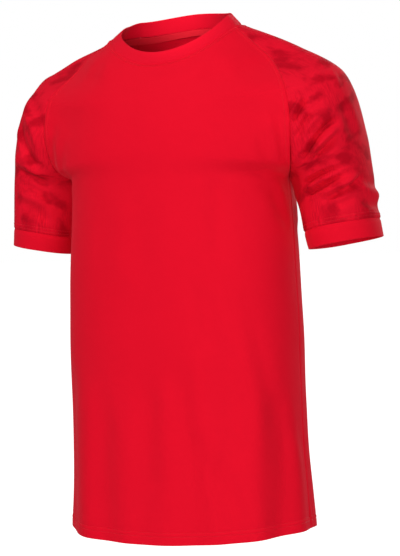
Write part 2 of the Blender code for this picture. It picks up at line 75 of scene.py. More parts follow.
# %% Camera
CAMERA_ANGLE = 25.0          # degrees round to the wearer's left
CAMERA_DISTANCE = 3.0
CAMERA_HEIGHT = -0.27
CAMERA_AIM = Vector((0, 0, -0.36))
CAMERA_ROLL = 1.55           # degrees
CAMERA_LENS = 136.4          # millimetres
CAMERA_SHIFT = (0.0254, 0.0086)
CAMERA_SEES = 200            # metres


def place_camera():
    angle = np.radians(CAMERA_ANGLE)
    place = Vector((np.sin(angle) * CAMERA_DISTANCE, -np.cos(angle) * CAMERA_DISTANCE, CAMERA_HEIGHT))
    forward = (CAMERA_AIM - place).normalized()
    right = forward.cross(Vector((0, 0, 1))).normalized()
    up = right.cross(forward)
    turned = Matrix.Rotation(np.radians(CAMERA_ROLL), 3, forward)
    axes = Matrix((turned @ right, turned @ up, -forward)).transposed()
    bpy.ops.object.camera_add()
    camera = bpy.context.object
    camera.name = "camera"
    camera.matrix_world = Matrix.Translation(place) @ axes.to_4x4()
    camera.data.lens = CAMERA_LENS
    camera.data.shift_x, camera.data.shift_y = CAMERA_SHIFT
    camera.data.clip_end = CAMERA_SEES
    bpy.context.scene.camera = camera
    return camera


print("camera at", [round(x, 3) for x in place_camera().location])

# %% [markdown]
# ## Light and floor
#
# A catalogue picture has a white surround and soft light. A white world gives the even part. A small
# lamp high in front rakes down over the cloth and brings out its creases, and wide ones, low in front
# and on the right, open the shadows. One stands above the neck, one lights the back, and a narrow one
# shines over the front of the collar on the inside of the neck. The floor is where a wearer's feet
# would be, far below the hem, so no shadow of the shirt shows.

# %% Light and floor
FLOOR_HEIGHT = -1.45
FLOOR_RADIUS = 60.0
FLOOR_SIDES = 96
FLOOR_GREY = 0.6             # what it throws back; the camera sees white
WORLD_STRENGTH = 0.30        # what lights the shirt; the camera sees full white
LAMPS = {                    # name: place, size, power in watts
    "key_lamp": ((-0.9, -2.7, 2.5), 0.40, 60),
    "front_lamp": ((1.2, -3.1, -0.5), 1.2, 32),
    "fill_lamp": ((2.9, -2.3, -0.1), 1.8, 33),
    "top_lamp": ((0.2, -1.3, 2.6), 0.6, 12),
    "back_lamp": ((0.4, 3.4, 1.0), 2.0, 60),
}
LAMP_AIM = Vector((0, 0, -0.30))
NECK_LAMP = (0.50, -2.5, 0.50)
NECK_AIM = Vector((-0.005, 0.055, 0.003))
NECK_CONE = 3.8              # degrees
NECK_POWER = 140


def math_node(tree, operation, *values):
    node = tree.nodes.new("ShaderNodeMath")
    node.operation = operation
    for socket, value in zip(node.inputs, values):
        if isinstance(value, (int, float)):
            socket.default_value = value
        else:
            tree.links.new(value, socket)
    return node.outputs[0]


def add_lamp(name, kind, place, aim, power):
    bpy.ops.object.light_add(type=kind, location=place)
    lamp = bpy.context.object
    lamp.name = name
    lamp.rotation_euler = (aim - lamp.location).to_track_quat("-Z", "Y").to_euler()
    lamp.data.energy = power
    return lamp


def light_scene():
    world = bpy.data.worlds.new("white_surround")
    world.use_nodes = True
    background = world.node_tree.nodes["Background"]
    background.inputs["Color"].default_value = (1, 1, 1, 1)
    seen = world.node_tree.nodes.new("ShaderNodeLightPath").outputs["Is Camera Ray"]
    world.node_tree.links.new(math_node(world.node_tree, "MAXIMUM", seen, WORLD_STRENGTH),
                              background.inputs["Strength"])
    bpy.context.scene.world = world
    bpy.context.scene.view_settings.view_transform = "Standard"
    for name, (place, size, power) in LAMPS.items():
        add_lamp(name, "AREA", place, LAMP_AIM, power).data.size = size
    narrow = add_lamp("neck_lamp", "SPOT", NECK_LAMP, NECK_AIM, NECK_POWER).data
    narrow.spot_size, narrow.spot_blend = np.radians(NECK_CONE), 1.0


def add_floor():
    bpy.ops.mesh.primitive_circle_add(vertices=FLOOR_SIDES, radius=FLOOR_RADIUS, fill_type="NGON",
                                      location=(0, 0, FLOOR_HEIGHT))
    floor = bpy.context.object
    floor.name = "floor"
    paint = bpy.data.materials.new("pale_floor")
    paint.use_nodes = True
    shader = paint.node_tree.nodes["Principled BSDF"]
    shader.inputs["Base Color"].default_value = (FLOOR_GREY, FLOOR_GREY, FLOOR_GREY, 1)
    shader.inputs["Roughness"].default_value = 1.0
    shader.inputs["Emission Color"].default_value = (1, 1, 1, 1)
    seen = paint.node_tree.nodes.new("ShaderNodeLightPath").outputs["Is Camera Ray"]
    paint.node_tree.links.new(seen, shader.inputs["Emission Strength"])
    floor.data.materials.append(paint)


light_scene()
add_floor()

# %% [markdown]
# ## The shirt's sizes
#
# Two numbers name a place on the cloth. "across" runs round the body or the arm, and "level" is about
# the distance along the cloth above the underarm seam, negative below it. Each table row describes one
# ring of the shirt, and smooth curves join the rows. The solid frame was made from the same numbers.

# %% Sizes and rings
SEAM_GAP = 0.0003
HEM_Z = -0.7055
UNDERARM_Z = -0.215
COLLAR_DEPTH = 0.0205
CUFF_DEPTH = 0.022           # in level, which is 26 mm along the cloth
TAPE_DEPTH = 0.0135          # in level, which is 9 mm along the cloth behind and 18 mm at both ends
TAPE_TOP = 0.0015
TAPE_START = 1.25

NECK_HALF_WIDTH = 0.097
NECK_FRONT = 0.075
NECK_BACK = 0.068
NECK_CENTRE_Y = -0.010
NECK_FRONT_Z = -0.055
NECK_SIDE_Z = -0.004
NECK_BACK_Z = 0.005
NECK_FRONT_SEAM_ANGLE = 82.0
NECK_BACK_SEAM_ANGLE = 128.0
NECK_LEVEL = 0.288
NECK_DIP_POWER = 1.5
BACK_MIDDLE = 3
NECK_TILT = 0.045            # how much higher the wearer's left of the neckline is held, over its width
NECK_TILT_FROM, NECK_TILT_TO = -0.040, -0.005
COLLAR_LEANS = (             # place round the neck as in round_neck, and degrees inwards from upright
    (-3, 10), (-2, 20), (-1.5, 40), (-1, 52), (-0.5, 36), (0, 24), (0.5, 30), (1, 44), (1.5, 46), (2, 34),
    (3, 10))

ARM_SPREAD = 9.5
ARM_TOP_WIDTH = 0.110
ARM_CENTRE_Y = 0.022
ARM_HALF_DEPTH = 0.060
CUFF_CENTRE = (0.2340, 0.030, -0.308)
CUFF_HALF_WIDTH = 0.0505
CUFF_HALF_DEPTH = 0.0600
HEM_LEVEL = HEM_Z - UNDERARM_Z
CUFF_LEVEL = CUFF_CENTRE[2] - UNDERARM_Z
CUFF_SEAM_LEVEL = CUFF_LEVEL + CUFF_DEPTH

AXES = ("_x", "_y", "_z")
NECK_FRONT_PULL = 1.51
NECK_BACK_PULL = 1.20
SQUARE_CORNER = 1.95
HALF_TURN_PULL = 4.0
UNDERARM_ROUND = 1.4
ARMPIT_TURN = 54             # degrees by which the sleeve turns off across its seam at the underarm
CORNER_REACH = 0.45
CORNER_ROUNDING = 0.075      # how far along the cloth the corner is rounded off at that reach
CORNER_SAMPLES = (-0.8, -0.4, 0, 0.4, 0.8)

# The columns are height, half width, depth in front, depth behind, the side seam's y, and the dip.
TRUNK_RINGS = (
    (HEM_Z, 0.1805, 0.133, 0.111, 0.008, 0.0115),
    (-0.560, 0.1735, 0.125, 0.107, 0.004, 0.001),
    (-0.380, 0.1700, 0.123, 0.103, 0.002, 0.0),
    (UNDERARM_Z, 0.1610, 0.123, 0.095, 0.004, 0.0),
)
YOKE_COLUMNS = (
    "level", "front_y", "front_z", "seam_x", "seam_y", "seam_z", "seam_angle", "top_x", "top_y", "top_z",
    "back_seam_x", "back_seam_y", "back_seam_z", "back_seam_angle", "back_y", "back_z", "crease", "round")
YOKE_LEVELS = (
    (0.060, -0.1202, -0.180, 0.183, -0.043, -0.192, 2, 0.263, 0.022, -0.151,
     0.186, 0.058, -0.188, 0, 0.0985, -0.180, 0.50, 1.35),
    (0.108, -0.1165, -0.144, 0.190, -0.061, -0.140, 4, 0.254, 0.022, -0.107,
     0.184, 0.082, -0.140, -6, 0.0988, -0.140, 0.12, 1.30),
    (0.153, -0.1097, -0.112, 0.185, -0.057, -0.102, 18, 0.239, 0.021, -0.072,
     0.164, 0.084, -0.095, -14, 0.0932, -0.094, 0.0, 1.22),
    (0.218, -0.0980, -0.080, 0.149, -0.024, -0.049, 50, 0.179, 0.018, -0.0365,
     0.125, 0.067, -0.046, -32, 0.0780, -0.040, 0.0, 1.10),
)

# %% [markdown]
# ## Smooth curves through the rings
#
# A spline through sparse rows often swings past them. The slopes here are weighted means of the steps
# on both sides, which keeps each stretch between its two ends, as taut cloth does.

# %% Curves


def curve(t, start, start_pull, end, end_pull):
    """A cubic curve from start to end, with its direction and strength given at both."""
    return ((2 * t**3 - 3 * t**2 + 1) * start + (t**3 - 2 * t**2 + t) * start_pull
            + (3 * t**2 - 2 * t**3) * end + (t**3 - t**2) * end_pull)


def through(rows, place):
    """The columns of a table at a place of its first column."""
    rows = np.asarray(rows, float)
    x, y = rows[:, 0], rows[:, 1:]
    step = np.diff(x)[:, None]
    secant = np.diff(y, axis=0) / step
    slope = np.vstack([secant[:1], np.zeros_like(secant[1:]), secant[-1:]])
    before, after = secant[:-1], secant[1:]
    near, far = 2 * step[1:] + step[:-1], step[1:] + 2 * step[:-1]
    same_way = before * after > 0
    mean = (near + far) * before * after / np.where(same_way, near * after + far * before, 1)
    slope[1:-1] = np.where(same_way, mean, 0)
    k = np.clip(np.searchsorted(x, place, side="right") - 1, 0, len(x) - 2)
    t = ((place - x[k]) / step[k, 0])[..., None]
    return curve(t, y[k], slope[k] * step[k], y[k + 1], slope[k + 1] * step[k])


def eased(t):
    t = np.clip(t, 0, 1)
    return t * t * (3 - 2 * t)


def heading(degrees, length):
    """A direction seen from above, 0 towards +X and 90 towards +Y."""
    return np.stack([np.cos(np.radians(degrees)) * length, np.sin(np.radians(degrees)) * length], -1)


def raised(plan, z):
    return np.concatenate([plan, z[..., None]], -1)


def unit(vectors):
    return vectors / np.linalg.norm(vectors, axis=-1, keepdims=True)


# %% Rows at the neckline, the underarm, the hem and the cuff


def neck_point(degrees):
    sine, cosine = np.sin(np.radians(degrees)), np.cos(np.radians(degrees))
    depth, end_z = (NECK_FRONT, NECK_FRONT_Z) if cosine > 0 else (NECK_BACK, NECK_BACK_Z)
    z = NECK_SIDE_Z + (end_z - NECK_SIDE_Z) * abs(cosine) ** NECK_DIP_POWER
    return NECK_HALF_WIDTH * sine, NECK_CENTRE_Y - depth * cosine, z


def neck_heading(degrees):
    sine, cosine = np.sin(np.radians(degrees)), np.cos(np.radians(degrees))
    depth = NECK_FRONT if cosine > 0 else NECK_BACK
    return np.degrees(np.arctan2(depth * sine, NECK_HALF_WIDTH * cosine))


def at_point(name, point):
    return dict(zip((name + axis for axis in AXES), point))


def underarm_row():
    _, half_width, front, back, side_y, _ = TRUNK_RINGS[-1]
    meeting = (half_width, side_y, UNDERARM_Z)
    top = (half_width + ARM_TOP_WIDTH, ARM_CENTRE_Y,
           UNDERARM_Z + ARM_TOP_WIDTH * np.tan(np.radians(ARM_SPREAD)))
    return {"level": 0, "front_y": side_y - front, "front_z": UNDERARM_Z, "back_y": side_y + back,
            "back_z": UNDERARM_Z, **at_point("seam", meeting), "seam_angle": 0, **at_point("top", top),
            **at_point("back_seam", meeting), "back_seam_angle": 0, "crease": 1, "round": UNDERARM_ROUND}


def neckline_row():
    _, front_y, front_z = neck_point(0)
    _, back_y, back_z = neck_point(180)
    middle = (NECK_FRONT_SEAM_ANGLE + NECK_BACK_SEAM_ANGLE) / 2
    return {"level": NECK_LEVEL, "front_y": front_y, "front_z": front_z,
            "back_y": back_y, "back_z": back_z, **at_point("seam", neck_point(NECK_FRONT_SEAM_ANGLE)),
            "seam_angle": neck_heading(NECK_FRONT_SEAM_ANGLE), **at_point("top", neck_point(middle)),
            **at_point("back_seam", neck_point(NECK_BACK_SEAM_ANGLE)),
            "back_seam_angle": neck_heading(NECK_BACK_SEAM_ANGLE) - 180, "crease": 0, "round": 1}


def table_of(rows_below):
    yoke = [dict(zip(YOKE_COLUMNS, row)) for row in YOKE_LEVELS]
    rows = [*rows_below, underarm_row(), *yoke, neckline_row()]
    return np.array([[row[name] for name in YOKE_COLUMNS] for row in rows], float)


def body_table():
    rings = []
    for z, half_width, front, back, side_y, dip in TRUNK_RINGS[:-1]:
        side_seam = (half_width, side_y, z)
        rings.append({**underarm_row(), "level": z - UNDERARM_Z, "front_y": side_y - front,
                      "front_z": z - dip, "back_y": side_y + back, "back_z": z - dip,
                      **at_point("seam", side_seam), **at_point("back_seam", side_seam)})
    return table_of(rings)


def sleeve_table():
    cuff_x, cuff_y, cuff_z = CUFF_CENTRE
    rise = CUFF_HALF_WIDTH * np.tan(np.radians(ARM_SPREAD))
    seam = (cuff_x - CUFF_HALF_WIDTH, cuff_y, cuff_z - rise)
    top = (cuff_x + CUFF_HALF_WIDTH, cuff_y, cuff_z + rise)
    return table_of([{**underarm_row(), "level": CUFF_LEVEL, **at_point("seam", seam),
                      **at_point("top", top), **at_point("back_seam", seam)}])


BODY = body_table()
SLEEVE = sleeve_table()
print("rings in the body:", len(BODY), "and in a sleeve:", len(SLEEVE))

# %% [markdown]
# ## The cloth's form
#
# Each ring is drawn as one or two curves between the panel's middle, the seam and the top of the
# sleeve. A tube could be lofted with Bridge Edge Loops, but a function gives any point of the cloth,
# so creases, stitches and the print can all be placed by it later.

# %% Panels and sleeves


def columns_at(table, level):
    return dict(zip(YOKE_COLUMNS[1:], np.moveaxis(through(table, level), -1, 0)))


def corner(table, level, seam, edge):
    """How far the cloth lies from its smooth curve, because the seam turns sharply at the underarm.
    edge is 0 at the seam. Away from it, the corner is rounded off more and more."""
    place = 1 + YOKE_COLUMNS[1:].index(seam + "_x")
    points = table[:, [0, place, place + 1, place + 2]]
    total = 0
    for sample in CORNER_SAMPLES:
        near = np.clip(level + sample * CORNER_ROUNDING * edge / CORNER_REACH, *points[[0, -1], 0])
        below = through(points[points[:, 0] <= 0], np.minimum(near, 0))
        above = through(points[points[:, 0] >= 0], np.maximum(near, 0))
        total = total + np.where((near < 0)[..., None], below, above) - through(points, near)
    return eased(1 - edge / CORNER_REACH)[..., None] * total / len(CORNER_SAMPLES)


def point_of(row, name):
    return np.stack([row[name + axis] for axis in AXES], -1)


def climb(row, seam, middle):
    """How steeply the cloth rises across a raglan seam."""
    seam_x, seam_y = row[seam + "_x"], row[seam + "_y"]
    way = (np.hypot(seam_x, seam_y - row[middle + "_y"])
           + np.hypot(row["top_x"] - seam_x, row["top_y"] - seam_y))
    return (1 - row["crease"]) * np.maximum(row["top_z"] - row[middle + "_z"], 0) / way


def half_panel(across, level, back):
    """Half a body panel. across is 0 at the middle and 1 at the seam."""
    row = columns_at(BODY, level)
    lift = np.clip(level / NECK_LEVEL, 0, 1)
    name, middle, turn, neck_pull = (("back_seam", "back", -90, NECK_BACK_PULL) if back
                                     else ("seam", "front", 90, NECK_FRONT_PULL))
    start = np.stack([0 * level, row[middle + "_y"], row[middle + "_z"]], -1)
    end = point_of(row, name)
    start_pull = (SQUARE_CORNER * (1 - lift) + neck_pull * lift) * end[..., 0]
    reach = np.abs(end[..., 1] - start[..., 1])
    end_pull = row["crease"] * SQUARE_CORNER * reach + (1 - row["crease"]) * np.hypot(end[..., 0], reach)
    end_heading = row[name + "_angle"] + turn * row["crease"]
    points = curve(across[..., None], start, raised(heading(0, start_pull), 0 * level),
                   end, raised(heading(end_heading, end_pull), climb(row, name, middle) * end_pull))
    return points + corner(BODY, level, name, 1 - across)


def panel(across, level, back):
    """A whole body panel, across from -1 at the wearer's right to 1 at the left."""
    points = half_panel(np.abs(across), level, back)
    points[..., 0] *= np.where(across < 0, -1, 1)
    return points


def sleeve(across, level):
    """A left sleeve. across is 0 at the front seam, 0.5 over the top and 1 at the back seam."""
    row = columns_at(SLEEVE, level)
    at = {name: point_of(row, name) for name in ("seam", "top", "back_seam")}
    down = eased(level / CUFF_LEVEL)
    half_depth = ARM_HALF_DEPTH + (CUFF_HALF_DEPTH - ARM_HALF_DEPTH) * down
    loop = HALF_TURN_PULL * half_depth * row["crease"]
    chord = {name: np.linalg.norm(at["top"][..., :2] - at[name][..., :2], axis=-1)
             for name in ("seam", "back_seam")}
    pull = {name: loop + (1 - row["crease"]) * row["round"] * chord[name] for name in chord}
    over = raised(heading(90, (pull["seam"] + pull["back_seam"]) / 2), 0 * level)
    turn = (ARMPIT_TURN + (90 - ARMPIT_TURN) * down) * row["crease"]
    out_of_front = raised(heading(row["seam_angle"] - turn, pull["seam"]),
                          climb(row, "seam", "front") * pull["seam"])
    into_back = raised(heading(180 + row["back_seam_angle"] + turn, pull["back_seam"]),
                       -climb(row, "back_seam", "back") * pull["back_seam"])
    first = np.clip(2 * across, 0, 1)[..., None]
    second = np.clip(2 * across - 1, 0, 1)[..., None]
    points = np.where(across[..., None] <= 0.5, curve(first, at["seam"], out_of_front, at["top"], over),
                      curve(second, at["top"], over, at["back_seam"], into_back))
    return (points + corner(SLEEVE, level, "seam", 2 * across)
            + corner(SLEEVE, level, "back_seam", 2 - 2 * across))


# %% The neckline and the collar


def tilted(points):
    """The points with the neckline held a little higher on the wearer's left."""
    share = eased((points[..., 2] - NECK_TILT_FROM) / (NECK_TILT_TO - NECK_TILT_FROM))
    points[..., 2] += NECK_TILT * points[..., 0] * share
    return points


def round_neck(turn, level):
    """The cloth near the neckline. turn is 0 at the front middle, 1 and 2 at the left sleeve's seams
    and 3 at the back middle, and negative on the wearer's right."""
    half = np.abs(turn)
    points = np.where((half <= 1)[..., None], half_panel(np.clip(half, 0, 1), level, False),
                      sleeve(np.clip(half - 1, 0, 1), level))
    points = np.where((half > 2)[..., None], half_panel(np.clip(3 - half, 0, 1), level, True), points)
    points[..., 0] *= np.where(turn < 0, -1, 1)
    return tilted(points)


def behind_neck(turn, level):
    return round_neck(np.where(turn > BACK_MIDDLE, turn - 2 * BACK_MIDDLE, turn), level)


def collar_band(turn, rise):
    """The collar above its seam, leaning inwards. rise is 0 at the seam and 1 at the upper edge."""
    seam = round_neck(turn, NECK_LEVEL + 0 * turn)
    y = seam[..., 1] - NECK_CENTRE_Y
    depth = np.where(y < 0, NECK_FRONT, NECK_BACK)
    out = unit(np.stack([seam[..., 0] / NECK_HALF_WIDTH**2, y / depth**2], -1))
    lean = np.radians(through(COLLAR_LEANS, turn)[..., 0])
    way = raised(-out * np.sin(lean)[..., None], np.cos(lean))
    return seam + COLLAR_DEPTH * rise[..., None] * way


FORMS = {                    # piece: form, and 1 or -1 for the way its numbers turn round the cloth
    "front_body": (lambda across, level: tilted(panel(across, level, False)), 1),
    "back_body": (lambda across, level: tilted(panel(across, level, True)), -1),
    "left_sleeve": (lambda across, level: tilted(sleeve(across, level)), 1),
    "right_sleeve": (lambda across, level: tilted(sleeve(across, level) * (-1, 1, 1)), -1),
}
SLOPE_STEP = 1e-4


def outward(form, across, level, side):
    """Unit directions out of the cloth, from the form's slopes."""
    along = form(across + SLOPE_STEP, level) - form(across - SLOPE_STEP, level)
    up = form(across, level + SLOPE_STEP) - form(across, level - SLOPE_STEP)
    return unit(side * np.cross(along, up))


# %% [markdown]
# ## Creases
#
# Creases start where cloth is held, here at the underarm, and fade out across the sleeve and the chest.
# A cloth simulation would make its own, but these have to lie where they do in the picture, so each
# is a line placed one by one, with a soft trough or ridge across it. A lean makes one flank steeper.
# The hidden sides get similar ones, none of them alike.

# %% Table of creases
CREASE_COLUMNS = ("line", "start_width", "end_width", "height", "lean")
CREASES = {}
CREASES["front_body"] = (
    # soft flutes that hang down the front
    (((.14, -.23), (.14, -.33), (.17, -.38), (.17, -.5)), .014, .022, -.0039, .2),
    (((.08, -.26), (.07, -.36), (.09, -.5)), .018, .026, .0029, 0),
    (((.42, -.15), (.48, -.24), (.55, -.315), (.53, -.37), (.52, -.5)), .016, .024, .0034, .25),
    (((.36, -.2), (.42, -.3), (.44, -.4)), .015, .02, -.0026, 0),
    (((.25, -.14), (.26, -.19), (.265, -.25)), .012, .016, -.002, 0),
    (((.3, -.37), (.32, -.41), (.37, -.445), (.4, -.5)), .012, .018, -.0031, -.2),
    (((-.01, -.25), (-.01, -.37), (-.03, -.43)), .014, .018, -.0021, 0),
    (((-.35, -.26), (-.42, -.38), (-.4, -.5)), .018, .028, .0034, .2),
    (((-.24, -.3), (-.26, -.4), (-.24, -.5)), .014, .02, -.0023, 0),
    (((-.62, -.24), (-.66, -.37), (-.62, -.5)), .016, .026, -.0034, 0),
    (((.36, .01), (.37, -.06), (.35, -.13)), .012, .016, -.0021, 0),
    (((.72, -.28), (.76, -.38), (.72, -.5)), .014, .024, -.0034, .2),
    (((.84, -.34), (.88, -.42), (.86, -.5)), .012, .02, .0029, 0),
    (((-.1, -.02), (-.14, -.09), (-.13, -.16)), .016, .02, .0016, 0),
    # the drag from each underarm up and across the chest
    (((.965, .045), (.925, .09), (.9, .14)), .006, .01, -.0024, .3),
    (((.93, .02), (.87, .075), (.84, .125)), .008, .012, .002, 0),
    (((.9, -.015), (.82, .055), (.78, .11)), .008, .014, -.0022, .2),
    (((.93, -.04), (.84, -.01), (.74, .035)), .008, .014, .0018, 0),
    (((.95, -.07), (.86, -.055), (.76, -.02)), .008, .012, -.0016, 0),
    (((-.965, .04), (-.92, .085), (-.89, .13)), .006, .01, -.0022, .3),
    (((-.92, .01), (-.86, .065), (-.83, .11)), .008, .012, .0018, 0),
    (((-.9, -.03), (-.82, .035), (-.77, .09)), .008, .014, -.0018, 0),
    # from the collar's sides down over the chest
    (((.7, .262), (.62, .225), (.58, .185)), .01, .016, .0012, 0),
    (((-.66, .262), (-.6, .23), (-.52, .19)), .01, .016, -.001, 0),
)
CREASES["back_body"] = (
    # the back hangs from the shoulder blades and is held in at both underarms
    (((.12, -.16), (.07, -.28), (.09, -.38), (.1, -.5)), .018, .028, .0034, .2),
    (((.26, -.2), (.24, -.34), (.28, -.5)), .016, .024, -.003, 0),
    (((-.08, -.24), (-.1, -.36), (-.06, -.5)), .016, .022, -.0026, -.2),
    (((-.32, -.2), (-.38, -.36), (-.35, -.5)), .016, .028, .003, .2),
    (((-.52, -.28), (-.55, -.4), (-.5, -.5)), .014, .022, -.0028, 0),
    (((.46, -.24), (.54, -.38), (.5, -.5)), .016, .026, .0032, -.2),
    (((.7, -.27), (.72, -.39), (.66, -.5)), .014, .022, -.0024, 0),
    (((.05, .12), (.03, .03), (.06, -.07)), .016, .022, -.0018, 0),
    (((.955, .04), (.9, .09), (.84, .125)), .007, .012, -.003, .3),
    (((.92, .005), (.82, .06), (.72, .085)), .009, .015, .0028, 0),
    (((.9, -.035), (.78, .015), (.64, .04)), .009, .016, -.0028, .2),
    (((.93, -.075), (.8, -.045), (.66, -.02)), .009, .015, .002, 0),
    (((-.955, .045), (-.91, .085), (-.86, .115)), .007, .012, -.0028, .3),
    (((-.92, .01), (-.8, .055), (-.69, .09)), .009, .015, .0026, 0),
    (((-.91, -.025), (-.77, .01), (-.62, .03)), .009, .016, -.003, .2),
    (((-.92, -.085), (-.82, -.06), (-.7, -.045)), .009, .014, -.0018, 0),
    (((.62, .25), (.56, .205), (.52, .15)), .01, .018, -.0014, 0),
    (((-.58, .255), (-.55, .205), (-.47, .16)), .01, .018, .0014, 0),
)
CREASES["left_sleeve"] = (
    # the near sleeve, held in under the arm
    (((.041, .035), (.074, .0625), (.123, .0761), (.177, .0825), (.237, .0867), (.345, .0854)),
     .0042, .0052, -.0085, .25),
    (((.095, .05), (.15, .067), (.215, .075), (.31, .077)), .0042, .006, .0059, -.2),
    (((.12, .038), (.19, .057), (.29, .064)), .004, .006, -.0045, .2),
    (((.06, .088), (.11, .0975), (.19, .1045), (.27, .105)), .005, .008, .0049, 0),
    (((.008, .1), (.039, .1155), (.073, .1291), (.11, .14)), .0036, .0046, -.0055, .3),
    (((.004, .108), (.024, .121), (.063, .1333), (.085, .142)), .003, .004, .0039, 0),
    (((.012, .0842), (.044, .0935), (.086, .1041), (.124, .113)), .0036, .005, -.0042, .2),
    (((.087, -.0171), (.162, -.0108), (.222, -.0078), (.285, -.0053), (.365, -.004)),
     .0038, .0052, -.0069, .3),
    (((.11, -.027), (.19, -.019), (.26, -.0135), (.35, -.0085)), .004, .0055, .0052, 0),
    (((.117, -.0366), (.169, -.0294), (.226, -.0248), (.288, -.0188), (.36, -.0145)),
     .0036, .005, -.0065, -.2),
    (((.2, -.037), (.27, -.0305), (.34, -.025), (.42, -.018)), .0042, .0058, .0059, .2),
    (((.22, -.044), (.278, -.0382), (.335, -.0335), (.399, -.0268), (.455, -.019)),
     .0038, .0052, -.0069, .3),
    (((.255, -.0515), (.318, -.048), (.395, -.043)), .0045, .006, -.0036, 0),
    (((.4, -.032), (.49, -.04), (.6, -.046)), .007, .008, .0036, .1),
    (((.4, -.05), (.5, -.056), (.6, -.059)), .006, .007, -.002, 0),
    (((.34, .108), (.375, .09), (.41, .065), (.44, .04)), .01, .013, -.0031, 0),
    (((.2, .17), (.3, .15), (.42, .14)), .01, .016, .0027, 0),
    (((.92, .04), (.84, .07), (.72, .082), (.62, .08)), .005, .008, -.0046, .35),
    (((.9, .01), (.78, .035), (.64, .045)), .007, .011, .0042, 0),
    (((.88, -.02), (.76, -.008), (.63, .004)), .005, .008, -.004, .3),
    (((.86, -.044), (.75, -.038), (.66, -.03)), .006, .008, .0036, 0),
    (((.97, .075), (.93, .105), (.87, .135)), .004, .006, -.003, .2),
)
CREASES["right_sleeve"] = (
    # the far sleeve
    (((.045, .04), (.11, .07), (.19, .092), (.3, .112)), .0055, .0085, -.0055, .3),
    (((.035, .078), (.065, .108), (.16, .128), (.3, .14)), .006, .01, .0051, .2),
    (((.1, .015), (.18, .042), (.29, .058)), .007, .011, .0043, 0),
    (((.12, -.008), (.2, .008), (.31, .022)), .0055, .0085, -.0047, .3),
    (((.14, -.036), (.228, -.026), (.33, -.022)), .0055, .0085, .0043, 0),
    (((.15, -.058), (.2, -.048), (.3, -.044)), .005, .007, -.0039, .2),
    (((.93, .045), (.83, .078), (.7, .095)), .006, .01, -.0045, .35),
    (((.89, .012), (.77, .03), (.62, .052)), .008, .013, .0039, 0),
    (((.87, -.022), (.74, -.02), (.61, -.008)), .006, .01, -.0036, .3),
    (((.45, -.05), (.54, -.044), (.63, -.05)), .006, .009, .0033, 0),
    (((.22, .175), (.33, .16), (.45, .145)), .01, .016, -.0027, 0),
)
print("creases placed by hand:", sum(len(rows) for rows in CREASES.values()))

# %% Height of all creases at any point of the cloth
CREASE_STEPS = 14
CREASE_REACH = 3.2           # widths from the line at which a crease has died out
CREASE_FADE = 0.26
LIP = 0.30                   # the cloth beside a crease swells the other way by this share of its height
LIP_PLACE, LIP_WIDTH = 1.9, 0.7
SEAM_MARGIN = 0.15
SEAM_DROP = 0.02
WAVES = 14
WAVE_SEED = 3
WAVE_LENGTHS = (0.07, 0.19)
WAVE_HEIGHT = 0.00022
UPRIGHT = 0.35               # waves in hanging cloth run mostly up and down


def crease_line(piece, line):
    """Points along a crease, and the cloth's outward direction at each."""
    form, side = FORMS[piece]
    stops = np.array([(k, *stop) for k, stop in enumerate(line)], float)
    across, level = np.moveaxis(through(stops, np.linspace(0, len(stops) - 1, CREASE_STEPS + 1)), -1, 0)
    return form(across, level), outward(form, across, level, side)


def crease_height(points):
    height = np.zeros(points.shape[:-1])
    flat, total = points.reshape(-1, 3), height.reshape(-1)
    for piece, row in [(piece, row) for piece, rows in CREASES.items() for row in rows]:
        crease = dict(zip(CREASE_COLUMNS, row))
        line, out = crease_line(piece, crease["line"])
        reach = CREASE_REACH * max(crease["start_width"], crease["end_width"])
        close = np.all((flat > line.min(0) - reach) & (flat < line.max(0) + reach), axis=-1).nonzero()[0]
        near = flat[close]
        best = np.full(len(close), np.inf)
        place, offset = np.zeros(len(close)), np.zeros(len(close))
        for k in range(CREASE_STEPS):
            a, way = line[k], line[k + 1] - line[k]
            part = np.clip((near - a) @ way / (way @ way), 0, 1)
            away = near - a - part[:, None] * way
            distance = np.linalg.norm(away, axis=-1)
            closer = distance < best
            sideways = np.cross(way, out[k])
            best = np.where(closer, distance, best)
            place = np.where(closer, (k + part) / CREASE_STEPS, place)
            offset = np.where(closer, distance * np.sign(away @ sideways), offset)
        width = crease["start_width"] + (crease["end_width"] - crease["start_width"]) * place
        width *= 1 + crease["lean"] * np.sign(offset)
        runs_off = crease["line"][-1][1] <= HEM_LEVEL
        fade = eased(place / CREASE_FADE) * (1 if runs_off else eased((1 - place) / CREASE_FADE))
        share = offset / width
        profile = np.exp(-(share**2)) - LIP * np.exp(-((np.abs(share) - LIP_PLACE) ** 2) / LIP_WIDTH)
        total[close] += crease["height"] * fade * profile
    return height


def unevenness(points):
    """Slow, shallow waves, so that no stretch of cloth is perfectly smooth. They run on across seams."""
    chance = np.random.default_rng(WAVE_SEED)
    ways = unit(chance.normal(size=(WAVES, 3)) * (1, 1, UPRIGHT))
    lengths = chance.uniform(*WAVE_LENGTHS, size=WAVES)
    phases = chance.uniform(0, 2 * np.pi, size=WAVES)
    return WAVE_HEIGHT * np.sin(points @ (ways / lengths[:, None]).T * 2 * np.pi + phases).sum(-1)


def open_cloth(edge, level):
    """1 on open cloth and 0 where chest and sleeve face each other under the arm."""
    facing = columns_at(SLEEVE, np.maximum(level, 0))["crease"] * (level > -SEAM_DROP)
    return 1 - facing * (1 - eased(edge / SEAM_MARGIN))


# %% [markdown]
# ## Relief at the seams
#
# A seam pulls the cloth down into a narrow valley. Where the allowance is folded under and stitched
# down, the cloth beside it stands a little proud, and each row of stitches presses a fine groove into
# it. These are far smaller than creases, so the grid gets extra rows and columns close to the seams.

